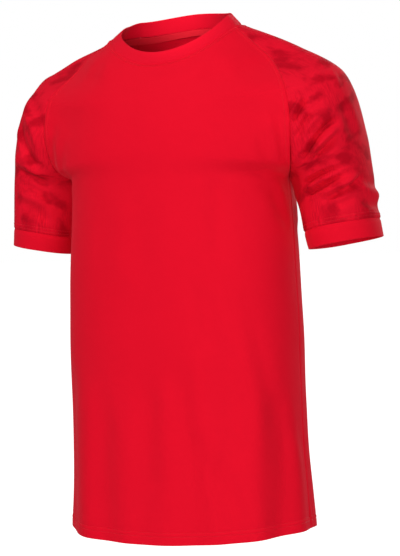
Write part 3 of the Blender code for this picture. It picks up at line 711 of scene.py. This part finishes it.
# %% Valleys, welts and puckers
CLOTH = 0.0010               # body and sleeve cloth
HEM_CLOTH = 0.0018           # two layers where the hem is turned up
HEM_TURN = 0.019
EDGE_ROUND = 0.0005
VALLEY_DEPTH, VALLEY_WIDTH = 0.0010, 0.0013
STITCH_DEPTH, STITCH_WIDTH = 0.00035, 0.0008
WELT_HEIGHT, WELT_SLOPE = 0.0006, 0.0012
RAGLAN_ROWS = (0.0062,)      # distances of the stitch rows from the seam
COLLAR_ROWS = (0.0048,)      # this and the next two are in level
CUFF_ROWS = (0.0036, 0.0074)
HEM_ROWS = (0.0112, 0.0160)
CUFF_WELT = 0.3              # share of the usual welt height above the cuffs
PUCKER_HEIGHT = 0.00022
PUCKER_LENGTHS = (0.0085, 0.0127)


def valley(distance, depth=VALLEY_DEPTH, width=VALLEY_WIDTH):
    return -depth * np.exp(-((distance / width) ** 2))


def welt(distance, width):
    """A low step that ends at a row of stitches."""
    return WELT_HEIGHT * eased((width - distance) / WELT_SLOPE + 0.5)


def stitched(distance, rows, along, proud=1.0):
    """Welt, grooves and puckers of an edge with its rows of stitches."""
    last = max(rows)
    short, long = PUCKER_LENGTHS
    ripple = np.sin(2 * np.pi * along / short) + np.sin(2 * np.pi * along / long)
    close = np.exp(-((distance - last) / last) ** 2)
    height = proud * welt(distance, last) + PUCKER_HEIGHT * ripple * close
    for row in rows:
        height += valley(distance - row, STITCH_DEPTH, STITCH_WIDTH)
    return height


def edge_round(distance):
    """How far a face draws back close to a free edge, so that the edge is round."""
    into = np.clip(1 - distance / EDGE_ROUND, 0, 1)
    return EDGE_ROUND * (1 - np.sqrt(1 - into**2))


# %% [markdown]
# ## From a form to a wall of cloth
#
# Every piece starts as a flat grid. Its points are moved onto the form, and the grid is then extruded
# to an inner face, so the cloth has a real thickness and a rounded edge. A Solidify modifier would
# do for cloth of one thickness, but the hem is two layers thick. Each point also keeps its distance
# round the cloth and its level, in metres, as the UV map, which the knit and the print follow later.

# %% Grids and walls
FINE_STEPS = (0.0, 0.00015, 0.0004, 0.0008, 0.0013, 0.0020, 0.0030)
ROW_STEPS = (-0.0014, -0.0007, 0.0, 0.0007, 0.0014)
PANEL_HALF_ARC = 0.20        # rough length that turns a distance into a share of half a panel
SLEEVE_ARC = 0.34
WELD_DISTANCE = 1e-6
PLACE_DIGITS = 7             # places closer than this are one


def places(start, stop, step, extra=()):
    """Evenly spaced numbers with some extra ones, in order."""
    even = np.linspace(start, stop, max(2, round((stop - start) / step) + 1))
    inside = [x for x in extra if start < x < stop]
    return np.unique(np.round([*even, *inside], PLACE_DIGITS))


def beside(edge, way, rows=(), scale=1.0):
    """Extra places close to an edge and on both sides of its stitch rows."""
    distances = [*FINE_STEPS, *(row + step for row in rows for step in ROW_STEPS)]
    return [edge + way * distance / scale for distance in distances]


def lengths_along(points, axis):
    steps = np.linalg.norm(np.diff(points, axis=axis), axis=-1)
    start = np.zeros_like(np.take(steps, [0], axis=axis))
    return np.concatenate([start, np.cumsum(steps, axis=axis)], axis=axis)


def lay_out(piece, columns, rows):
    """Everything that the later steps need to know about a piece's grid of points."""
    form, side = FORMS[piece]
    across, level = np.meshgrid(columns, rows)
    points = form(across, level)
    run = lengths_along(points, axis=1)
    return {"name": piece, "across": across, "level": level, "points": points,
            "normal": outward(form, across, level, side), "left": run, "right": run[:, -1:] - run,
            "uv": np.stack([run - run[:, -1:] / 2, level], -1)}


def in_scene(name, mesh):
    """The mesh as a smooth-shaded object."""
    mesh.shade_smooth()
    piece = bpy.data.objects.new(name, mesh)
    bpy.context.scene.collection.objects.link(piece)
    return piece


def cloth_mesh(name, points, uv, inner=None):
    """A grid laid on the points. With inner points it becomes a closed wall."""
    rows, columns = points.shape[:2]
    shell = bmesh.new()
    bmesh.ops.create_grid(shell, x_segments=columns - 1, y_segments=rows - 1, size=1)
    row_of = shell.verts.layers.int.new("row")
    column_of = shell.verts.layers.int.new("column")
    uv_layer = shell.loops.layers.uv.new("cloth")
    for vertex in shell.verts:
        vertex[column_of] = round((vertex.co.x + 1) / 2 * (columns - 1))
        vertex[row_of] = round((vertex.co.y + 1) / 2 * (rows - 1))
    for face in shell.faces:
        for loop in face.loops:
            loop[uv_layer].uv = uv[loop.vert[row_of], loop.vert[column_of]]
    for vertex in shell.verts:
        vertex.co = points[vertex[row_of], vertex[column_of]]
    bmesh.ops.remove_doubles(shell, verts=shell.verts, dist=WELD_DISTANCE)
    if inner is not None:
        extruded = bmesh.ops.extrude_face_region(shell, geom=shell.faces[:], use_keep_orig=True)
        for item in extruded["geom"]:
            if isinstance(item, bmesh.types.BMVert):
                item.co = inner[item[row_of], item[column_of]]
    bmesh.ops.recalc_face_normals(shell, faces=shell.faces)
    mesh = bpy.data.meshes.new(name)
    shell.to_mesh(mesh)
    shell.free()
    return in_scene(name, mesh)


def wall(grid, height, thickness, edge):
    """Outer and inner faces of a piece, rounded towards its edges."""
    grid["outer"] = grid["points"] + height[..., None] * grid["normal"]
    back_off = edge_round(edge)
    outer = grid["outer"] - back_off[..., None] * grid["normal"]
    inner = grid["outer"] - (thickness - back_off)[..., None] * grid["normal"]
    return cloth_mesh(grid["name"] + "_cloth", outer, grid["uv"], inner)


# %% [markdown]
# ## Front and back
#
# Both panels run from the turned-up hem to the neckline. Their side edges are side seams below the
# underarm and topstitched raglan seams above it. Every such edge reaches a hair past its seam, down
# in the seam's valley, so that no light comes through between two pieces.

# %% Body panels
PANEL_STEP = 1 / 60
BODY_STEP = 0.0042
RAGLAN_BLEND = 0.012
EDGE_PAST = 0.00025


def reach_past(grid):
    """Moves the side edges of a piece a little way past the seam, along the cloth."""
    along = unit(np.gradient(grid["points"], axis=1))
    grid["points"][:, 0] -= EDGE_PAST * along[:, 0]
    grid["points"][:, -1] += EDGE_PAST * along[:, -1]


def large_piece(name, columns, end, row_step, end_rows):
    """The grid of a panel or a sleeve, with creases, the valleys round it and the stitched neckline."""
    rows = places(end, NECK_LEVEL, row_step,
                  [*beside(end, 1, end_rows), *beside(NECK_LEVEL, -1, COLLAR_ROWS), 0])
    grid = lay_out(name, columns, rows)
    level, edge = grid["level"], np.minimum(grid["left"], grid["right"])
    reach_past(grid)
    from_end, from_neck = level - end, NECK_LEVEL - level
    height = crease_height(grid["points"]) + unevenness(grid["points"])
    height *= open_cloth(np.minimum(grid["across"] - columns[0], columns[-1] - grid["across"]), level)
    height += valley(edge) + valley(from_neck)
    height += stitched(from_neck, COLLAR_ROWS, grid["uv"][..., 0]) * eased(edge / VALLEY_WIDTH)
    free_edge = np.minimum(np.minimum(edge, from_end), from_neck)
    return grid, height, edge, from_end, free_edge


def body_panel(name):
    columns = places(-1, 1, PANEL_STEP, [*beside(-1, 1, RAGLAN_ROWS, PANEL_HALF_ARC),
                                         *beside(1, -1, RAGLAN_ROWS, PANEL_HALF_ARC)])
    grid, height, edge, from_hem, free_edge = large_piece(name, columns, HEM_LEVEL, BODY_STEP, HEM_ROWS)
    height += eased(grid["level"] / RAGLAN_BLEND) * stitched(edge, RAGLAN_ROWS, grid["level"])
    height += stitched(from_hem, HEM_ROWS, grid["uv"][..., 0])
    thickness = CLOTH + (HEM_CLOTH - CLOTH) * eased((HEM_TURN - from_hem) / WELT_SLOPE)
    return wall(grid, height, thickness, free_edge), grid


front, front_grid = body_panel("front_body")
back, back_grid = body_panel("back_body")
print("front panel:", len(front.data.vertices), "points")

# %% [markdown]
# ## Sleeves
#
# A raglan sleeve is one piece that reaches the collar. Below the underarm its two edges meet in the
# sleeve's own seam. The right sleeve is laid out from the mirrored form, but has its own creases.

# %% Sleeve cloth
SLEEVE_STEP = 1 / 150
ARM_STEP = 0.0025


def arm(name):
    columns = places(0, 1, SLEEVE_STEP, [*beside(0, 1, (), SLEEVE_ARC), *beside(1, -1, (), SLEEVE_ARC)])
    grid, height, _, from_cuff, free_edge = large_piece(name, columns, CUFF_SEAM_LEVEL, ARM_STEP,
                                                        CUFF_ROWS)
    height += valley(from_cuff) + stitched(from_cuff, CUFF_ROWS, grid["uv"][..., 0], CUFF_WELT)
    return wall(grid, height, CLOTH, free_edge), grid


left_arm, left_grid = arm("left_sleeve")
right_arm, right_grid = arm("right_sleeve")
print("sleeve:", len(left_arm.data.vertices), "points")

# %% [markdown]
# ## Folded bands
#
# The collar and the cuffs are strips folded in half, so their free edge is a fold and both raw edges
# are in the seam. Their cross-section runs up the outside, round the fold and down the inside.
# Laid out as a grid whose last row and column meet the first, and welded, this makes a closed ring.

# %% Collar and cuffs
BAND_THICKNESS = 0.0018
FOLD_TURNS = 7
BAND_STEP = 0.0012
COLLAR_STEP = 0.0032
COLLAR_ROUND = 0.57          # length round the neckline
NECK_SEAMS = (-2, -1, 1, 2)  # where the four raglan seams meet the neckline
CUFF_STEP = 1 / 110
SEAM_ROLL = 0.0022           # how far from its seam a band bends down into the valley
SEAM_LAP = 0.0014            # how far it reaches under the edge that it is sewn to
LAP_SUNK = 0.0006


def folded_section(depth):
    """Distances from the seam, and depths below the outer face, all round a folded band."""
    radius = BAND_THICKNESS / 2
    up = np.linspace(-SEAM_LAP, depth - radius, round(depth / BAND_STEP))
    turn = np.linspace(0, np.pi, FOLD_TURNS)[1:-1]
    lapped = LAP_SUNK * eased(-up / SEAM_LAP)
    distance = np.concatenate([up, depth - radius + radius * np.sin(turn), up[::-1], up[:1]])
    sunk = np.concatenate([lapped, radius - radius * np.cos(turn), 2 * radius - lapped[::-1], lapped[:1]])
    return distance, sunk


def folded_band(name, form, side, columns, place, depth, gap):
    """A ring of folded cloth. place turns a distance from the seam into the form's second number."""
    distance, sunk = folded_section(depth)
    across, away = np.meshgrid(columns, distance)
    below = np.meshgrid(columns, sunk)[1]
    points = form(across, place(away))
    normal = outward(form, across, place(away), side)
    normal[:, 0] = normal[:, -1] = unit(normal[:, 0] + normal[:, -1])
    height = valley(away, width=SEAM_ROLL) * (below < BAND_THICKNESS / 2) + unevenness(points)
    outer = points + (height - below)[..., None] * normal + np.array((0, 0, gap))
    run = lengths_along(points, axis=1)
    return cloth_mesh(name, outer, np.stack([run, away], -1))


collar_turns = places(-BACK_MIDDLE, BACK_MIDDLE, 2 * BACK_MIDDLE * COLLAR_STEP / COLLAR_ROUND, NECK_SEAMS)
collar = folded_band("collar_cloth", collar_band, 1, collar_turns, lambda away: away / COLLAR_DEPTH,
                     COLLAR_DEPTH, gap=SEAM_GAP / 2)
cuffs = {side: folded_band(side + "_cuff_cloth", *FORMS[side + "_sleeve"], places(0, 1, CUFF_STEP),
                           lambda away: CUFF_SEAM_LEVEL - away, CUFF_DEPTH, gap=-SEAM_GAP / 2)
         for side in ("left", "right")}
print("collar:", len(collar.data.vertices), "points")

# %% [markdown]
# ## Neck tape
#
# A narrow strip covers the seam inside the back of the neck, from one shoulder round to the other.

# %% Neck tape
TAPE_CLOTH = 0.0009
TAPE_SUNK = 0.0018           # below the outer face of the cloth that it lies in
TAPE_STEP, TAPE_TURN_STEP = 0.0015, 0.03


def neck_tape():
    top = NECK_LEVEL - TAPE_TOP
    rows = places(top - TAPE_DEPTH, top, TAPE_STEP, [*beside(top - TAPE_DEPTH, 1), *beside(top, -1)])
    turns = places(TAPE_START, 2 * BACK_MIDDLE - TAPE_START, TAPE_TURN_STEP)
    turn, level = np.meshgrid(turns, rows)
    points = behind_neck(turn, level)
    normal = outward(behind_neck, turn, level, 1)
    run = lengths_along(points, axis=1)
    sunk = TAPE_SUNK + edge_round(np.minimum(level - rows[0], rows[-1] - level))
    outer = points - sunk[..., None] * normal
    inner = points - (2 * TAPE_SUNK + TAPE_CLOTH - sunk)[..., None] * normal
    return cloth_mesh("neck_tape_cloth", outer, np.stack([run, level], -1), inner)


tape = neck_tape()

# %% [markdown]
# ## Stitches
#
# One stitch is a short thread, thick in the middle and pressed into the cloth at both ends. The same
# few faces are repeated along each row and joined into one mesh per piece, because hundreds of
# separate objects would be slow and of no use.

# %% Rows of stitches
STITCH_PITCH = 0.0030
STITCH_LENGTH = 0.0025
THREAD = 0.00026             # radius
THREAD_SIDES = 5
# Each ring of a stitch: place along it, size, and height over the cloth.
STITCH_RINGS = ((-0.46, 0.45, -0.5), (-0.25, 1.0, 0.25), (0.25, 1.0, 0.25), (0.46, 0.45, -0.5))
RAGLAN_START = 0.006         # the level at which the raglan seams' stitches start


def line_at(distance, wanted, points, normals):
    """The line on the cloth where the distance, which rises along the columns, has the wanted value."""
    found = [[np.interp(wanted, distance[k], values[k, :, axis]) for axis in range(3)]
             for values in (points, normals) for k in range(len(distance))]
    half = len(found) // 2
    return np.array(found[:half]), np.array(found[half:])


def one_stitch():
    """Points and outward faces of a stitch along X, as shares of its length and the thread's radius."""
    turn = np.linspace(0, 2 * np.pi, THREAD_SIDES, endpoint=False)
    rings = [(at, size * np.cos(angle), lift + size * np.sin(angle))
             for at, size, lift in STITCH_RINGS for angle in turn]
    faces = [(k * THREAD_SIDES + i, k * THREAD_SIDES + (i + 1) % THREAD_SIDES,
              (k + 1) * THREAD_SIDES + (i + 1) % THREAD_SIDES, (k + 1) * THREAD_SIDES + i)
             for k in range(len(STITCH_RINGS) - 1) for i in range(THREAD_SIDES)]
    faces += [tuple(range(THREAD_SIDES))[::-1],
              tuple(range((len(STITCH_RINGS) - 1) * THREAD_SIDES, len(STITCH_RINGS) * THREAD_SIDES))]
    return np.array(rings), faces


def stitches(name, lines):
    shape, shape_faces = one_stitch()
    points, faces = [], []
    for line, normals in lines:
        run = lengths_along(line, axis=0)
        stops = np.arange(STITCH_PITCH, run[-1] - STITCH_PITCH / 2, STITCH_PITCH)
        wanted = (line, -STITCH_LENGTH / 2), (line, STITCH_LENGTH / 2), (normals, 0)
        for stop in stops:
            start, end, out = np.array([
                [np.interp(stop + shift, run, values[:, axis]) for axis in range(3)]
                for values, shift in wanted])
            along = (end - start) / np.linalg.norm(end - start)
            sideways = np.cross(out, along)
            middle = (start + end) / 2
            base = len(points) * len(shape)
            points.append(middle + shape[:, :1] * STITCH_LENGTH * along
                          + shape[:, 1:2] * THREAD * sideways + shape[:, 2:] * THREAD * out)
            faces += [tuple(base + k for k in face) for face in shape_faces]
    mesh = bpy.data.meshes.new(name)
    mesh.from_pydata(np.concatenate(points).tolist(), [], faces)
    return in_scene(name, mesh)


def edge_lines(grid, rows, above):
    """Stitch lines along both side edges of a piece, above a level."""
    part = {key: grid[key][grid["level"][:, 0] >= above] for key in ("left", "right", "outer", "normal")}
    return ([line_at(part["left"], row, part["outer"], part["normal"]) for row in rows]
            + [line_at(part["right"][:, ::-1], row, part["outer"][:, ::-1], part["normal"][:, ::-1])
               for row in rows])


def level_lines(grid, start, way, rows):
    """Stitch lines at a distance from the hem, the neckline or the cuff seam."""
    distance = (way * (grid["level"] - start)).T[:, ::way]
    outer = np.swapaxes(grid["outer"], 0, 1)[:, ::way]
    normal = np.swapaxes(grid["normal"], 0, 1)[:, ::way]
    return [line_at(distance, row, outer, normal) for row in rows]


body_stitches = {
    name: stitches(name + "_stitches", [*edge_lines(grid, RAGLAN_ROWS, RAGLAN_START),
                                        *level_lines(grid, HEM_LEVEL, 1, HEM_ROWS),
                                        *level_lines(grid, NECK_LEVEL, -1, COLLAR_ROWS)])
    for name, grid in (("front", front_grid), ("back", back_grid))}
sleeve_stitches = {
    name: stitches(name + "_sleeve_stitches", [*level_lines(grid, CUFF_SEAM_LEVEL, 1, CUFF_ROWS),
                                               *level_lines(grid, NECK_LEVEL, -1, COLLAR_ROWS)])
    for name, grid in (("left", left_grid), ("right", right_grid))}
stitch_points = len(STITCH_RINGS) * THREAD_SIDES
print("stitches on the front:", len(body_stitches["front"].data.vertices) // stitch_points)

# %% [markdown]
# ## Knitted cloth
#
# Fine sports knit is rows of tiny V-shaped loops, about a millimetre wide. They are too small to
# model, so a node group turns the UV map into their height, for the Bump node, and paints shade into
# the gaps between them, a little darker. It is made once and used by every cloth with its own sizes and
# colours.

# %% Node helpers


def new_group(name, inputs, outputs):
    """An empty shader group. inputs and outputs are names with a socket kind and, for inputs, a value."""
    group = bpy.data.node_groups.new(name, "ShaderNodeTree")
    for socket_name, kind, value in inputs:
        socket = group.interface.new_socket(socket_name, in_out="INPUT", socket_type="NodeSocket" + kind)
        if value is not None:
            socket.default_value = value
    for socket_name, kind in outputs:
        group.interface.new_socket(socket_name, in_out="OUTPUT", socket_type="NodeSocket" + kind)
    return group, group.nodes.new("NodeGroupInput"), group.nodes.new("NodeGroupOutput")


def mixed(tree, factor, first, second):
    node = tree.nodes.new("ShaderNodeMix")
    node.data_type = "RGBA"
    for socket, value in zip((node.inputs[0], node.inputs[6], node.inputs[7]), (factor, first, second)):
        if isinstance(value, (int, float, tuple)):
            socket.default_value = value
        else:
            tree.links.new(value, socket)
    return node.outputs[2]


# %% The knit group
LOOP = (0.0011, 0.0009)      # width and height of a loop
LOOP_SLANT = 1.2             # how far its legs climb, in loops
# Painted shade: the colour is darkened between the knit loops, where shade falls in the gaps.
GAP_PAINTED_SHADE = 0.12
GAP_SHADE_COLOR = (0.02, 0.0, 0.001, 1)


def knit_group():
    group, given, result = new_group(
        "knit_loops", [("UV", "Vector", None), ("Loop Width", "Float", LOOP[0]),
                       ("Loop Height", "Float", LOOP[1]), ("Color", "Color", None)],
        [("Color", "Color"), ("Height", "Float")])
    split = group.nodes.new("ShaderNodeSeparateXYZ")
    group.links.new(given.outputs["UV"], split.inputs[0])
    wale = math_node(group, "DIVIDE", split.outputs["X"], given.outputs["Loop Width"])
    course = math_node(group, "DIVIDE", split.outputs["Y"], given.outputs["Loop Height"])
    from_middle = math_node(group, "ABSOLUTE", math_node(group, "SUBTRACT",
                                                         math_node(group, "FRACT", wale), 0.5))
    slanted = math_node(group, "ADD", course, math_node(group, "MULTIPLY", from_middle, LOOP_SLANT))
    loop = math_node(group, "SINE", math_node(group, "MULTIPLY", slanted, 2 * np.pi))
    loop = math_node(group, "MULTIPLY_ADD", loop, 0.5, 0.5)
    side = math_node(group, "SUBTRACT", 1.0, math_node(group, "POWER", math_node(
        group, "MULTIPLY", from_middle, 2.0), 2.0))
    height = math_node(group, "MULTIPLY", loop, side)
    # Painted shade: the colour is mixed towards near black where the loops are low, in the gaps between
    # them.
    gap = math_node(group, "MULTIPLY", math_node(group, "SUBTRACT", 1.0, height), GAP_PAINTED_SHADE)
    group.links.new(mixed(group, gap, given.outputs["Color"], GAP_SHADE_COLOR), result.inputs["Color"])
    group.links.new(height, result.inputs["Height"])
    return group


KNIT = knit_group()

# %% [markdown]
# ## The sleeve print
#
# The sleeves carry a tonal pattern: soft darker patches in a lighter red, with fine upright strokes
# over parts of it. One slow noise, turned and stretched, makes the patches, and a finer one breaks
# their edges. The strokes are noise drawn out along the sleeve, faded in and out by another slow one.

# %% The print group
# Each noise: width and length of its patches, in metres of cloth, turn in degrees, detail and offset.
PATCHES = (0.039, 0.026), 33.0, 1.0, 0.0
BREAKUP = (0.0065, 0.0065), -33.0, 2.0, 7.0
STROKES = (0.0011, 0.016), 4.0, 1.0, 3.0
DRIFT = (0.045, 0.045), 0.0, 1.0, 11.0
BREAKUP_SHARE = 0.22
PATCH_EDGE, STROKE_EDGE, DRIFT_EDGE = (0.585, 4.6), (0.46, 6.0), (0.44, 7.0)  # start and steepness
PATCH_STRENGTH, STROKE_STRENGTH = 0.72, 0.42


def cloth_noise(group, vector, size, turn, detail, place):
    scaled = group.nodes.new("ShaderNodeMapping")
    scaled.inputs["Rotation"].default_value[2] = np.radians(turn)
    scaled.inputs["Location"].default_value[0] = place
    scaled.inputs["Scale"].default_value = (1 / size[0], 1 / size[1], 1)
    group.links.new(vector, scaled.inputs["Vector"])
    noise = group.nodes.new("ShaderNodeTexNoise")
    noise.noise_dimensions = "2D"
    noise.inputs["Scale"].default_value = 1.0
    noise.inputs["Detail"].default_value = detail
    group.links.new(scaled.outputs[0], noise.inputs["Vector"])
    return noise.outputs[0]


def soft_step(tree, value, start, steepness):
    """0 below start, rising to 1."""
    risen = math_node(tree, "MULTIPLY", math_node(tree, "SUBTRACT", value, start), steepness)
    return math_node(tree, "MINIMUM", math_node(tree, "MAXIMUM", risen, 0.0), 1.0)


def print_group():
    group, given, result = new_group(
        "tonal_patches", [("UV", "Vector", None), ("Light", "Color", None), ("Dark", "Color", None)],
        [("Color", "Color")])
    patch, breakup, stroke, where = (cloth_noise(group, given.outputs["UV"], *noise)
                                     for noise in (PATCHES, BREAKUP, STROKES, DRIFT))
    shape = math_node(group, "MULTIPLY_ADD", breakup, BREAKUP_SHARE, patch)
    solid = math_node(group, "MULTIPLY", soft_step(group, shape, *PATCH_EDGE), PATCH_STRENGTH)
    stroke, where = soft_step(group, stroke, *STROKE_EDGE), soft_step(group, where, *DRIFT_EDGE)
    stroke = math_node(group, "MULTIPLY", math_node(group, "MULTIPLY", stroke, where), STROKE_STRENGTH)
    share = math_node(group, "MAXIMUM", solid, stroke)
    group.links.new(mixed(group, share, given.outputs["Light"], given.outputs["Dark"]),
                    result.inputs["Color"])
    return group


PRINT = print_group()

# %% [markdown]
# ## The finishes
#
# Polyester knit is matt with a soft glow at grazing angles, so it has a rough surface, a weak
# reflection and some sheen. Its red is strong and nearly pure. A slow noise varies it by a few parts
# in a hundred, because no real cloth has one flat colour.

# %% Cloth materials
BODY_RED = (0.80, 0.0045, 0.0215, 1)
COLLAR_RED = (0.81, 0.0050, 0.0240, 1)
PRINT_RED = (0.80, 0.0060, 0.0250, 1)
PRINT_DARK = (0.38, 0.0010, 0.0090, 1)
# Painted light: the tape's red is set lighter than the body's red, making up for the shade inside the
# neck.
TAPE_RED_PAINTED_LIGHT = (0.95, 0.0200, 0.0400, 1)
THREAD_RED = (0.66, 0.0030, 0.0170, 1)
CLOUD_RED = (0.45, 0.0, 0.006, 1)
CLOUD_SIZE = 0.11
CLOUD_DETAIL = 3.0
CLOUD_ON_CLOTH, CLOUD_ON_THREAD = 0.16, 0.2
LOOP_RELIEF = 0.0004
SHEEN_TINT = (1.0, 0.12, 0.16, 1)


def clouded(tree, color, amount):
    """The colour, a little darker and lighter in slow patches."""
    where = tree.nodes.new("ShaderNodeTexCoord")
    noise = tree.nodes.new("ShaderNodeTexNoise")
    noise.inputs["Scale"].default_value = 1 / CLOUD_SIZE
    noise.inputs["Detail"].default_value = CLOUD_DETAIL
    tree.links.new(where.outputs["Object"], noise.inputs["Vector"])
    factor = math_node(tree, "MULTIPLY", noise.outputs[0], amount)
    return mixed(tree, factor, color, CLOUD_RED)


def new_finish(name, **values):
    """A material, its nodes and its shader. Inputs are given with _ for each space in their names."""
    finish = bpy.data.materials.new(name)
    finish.use_nodes = True
    shader = finish.node_tree.nodes["Principled BSDF"]
    for title, value in values.items():
        shader.inputs[title.replace("_", " ")].default_value = value
    return finish, finish.node_tree, shader


def cloth_finish(name, red, loop=LOOP, bump=0.22, roughness=0.68, sheen=0.25, printed=None):
    finish, tree, shader = new_finish(name, Roughness=roughness, Specular_IOR_Level=0.02,
                                      Sheen_Weight=sheen, Sheen_Roughness=0.45, Sheen_Tint=SHEEN_TINT)
    uv = tree.nodes.new("ShaderNodeUVMap")
    uv.uv_map = "cloth"
    color = red
    if printed is not None:
        pattern = tree.nodes.new("ShaderNodeGroup")
        pattern.node_tree = PRINT
        pattern.inputs["Light"].default_value = red
        pattern.inputs["Dark"].default_value = printed
        tree.links.new(uv.outputs[0], pattern.inputs["UV"])
        color = pattern.outputs["Color"]
    knit = tree.nodes.new("ShaderNodeGroup")
    knit.node_tree = KNIT
    knit.inputs["Loop Width"].default_value, knit.inputs["Loop Height"].default_value = loop
    tree.links.new(uv.outputs[0], knit.inputs["UV"])
    tree.links.new(clouded(tree, color, CLOUD_ON_CLOTH), knit.inputs["Color"])
    raise_loops = tree.nodes.new("ShaderNodeBump")
    raise_loops.inputs["Strength"].default_value = bump
    raise_loops.inputs["Distance"].default_value = LOOP_RELIEF
    tree.links.new(knit.outputs["Height"], raise_loops.inputs["Height"])
    tree.links.new(raise_loops.outputs[0], shader.inputs["Normal"])
    tree.links.new(knit.outputs["Color"], shader.inputs["Base Color"])
    return finish


def thread_finish():
    finish, tree, shader = new_finish("thread", Roughness=0.5, Specular_IOR_Level=0.3)
    tree.links.new(clouded(tree, THREAD_RED, CLOUD_ON_THREAD), shader.inputs["Base Color"])
    return finish


body_knit = cloth_finish("red_knit_cloth", BODY_RED)
sleeve_knit = cloth_finish("printed_knit_cloth", PRINT_RED, sheen=0.08, printed=PRINT_DARK)
collar_knit = cloth_finish("collar_rib_cloth", COLLAR_RED, (0.0014, 0.0010), bump=0.35, roughness=0.75)
tape_cloth = cloth_finish("tape_cloth", TAPE_RED_PAINTED_LIGHT, (0.0009, 0.0009), bump=0.3, roughness=0.8, sheen=0.1)
thread = thread_finish()

# %% [markdown]
# ## Joining the cloth to the frame
#
# Each piece takes the place of its solid, rides on the shirt's one body and prints the size of the sheet
# of cloth it was cut from. For panels and sleeves the cut is measured on the smooth form, before any
# crease.
# The bands and the tape are plain strips of a stated size.

# %% Frame and cuts


def cell_area(points):
    one = points[1:, 1:] - points[:-1, :-1]
    other = points[1:, :-1] - points[:-1, 1:]
    return float(np.linalg.norm(np.cross(one, other), axis=-1).sum() / 2)


def dress(piece, node, slot, finish, flat, area, with_pieces=()):
    piece.data.materials.append(finish)
    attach(piece, "root")
    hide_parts(node)
    for other in with_pieces:
        other.data.materials.append(thread)
        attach(other, "root")
    print(node, "is cut from", [round(size, 3) for size in flat], "m, area", round(area, 4))


def cut_of(grid):
    """Width and length of the smallest rectangle that the piece is cut from, and the cut's area."""
    width = float(grid["left"][:, -1].max())
    length = float(lengths_along(grid["points"], axis=0)[-1].max())
    return (width, length), min(cell_area(grid["points"]), width * length)


for name, piece, grid in (("front", front, front_grid), ("back", back, back_grid)):
    dress(piece, name + "_body", "red_knit", body_knit, *cut_of(grid), [body_stitches[name]])
for name, piece, grid in (("left", left_arm, left_grid), ("right", right_arm, right_grid)):
    dress(piece, name + "_sleeve", "printed_red_knit", sleeve_knit, *cut_of(grid),
          [sleeve_stitches[name]])

CUFF_ROUND = float(left_grid["left"][0, -1])
TAPE_ROUND, TAPE_WIDTH = 0.30, 0.010
for piece, node, slot, finish, flat in (
        (cuffs["left"], "left_cuff", "red_knit", body_knit, (CUFF_ROUND, CUFF_DEPTH)),
        (cuffs["right"], "right_cuff", "red_knit", body_knit, (CUFF_ROUND, CUFF_DEPTH)),
        (collar, "collar", "red_rib", collar_knit, (COLLAR_ROUND, COLLAR_DEPTH)),
        (tape, "neck_tape", "red_tape", tape_cloth, (TAPE_ROUND, TAPE_WIDTH))):
    dress(piece, node, slot, finish, flat, flat[0] * flat[1])
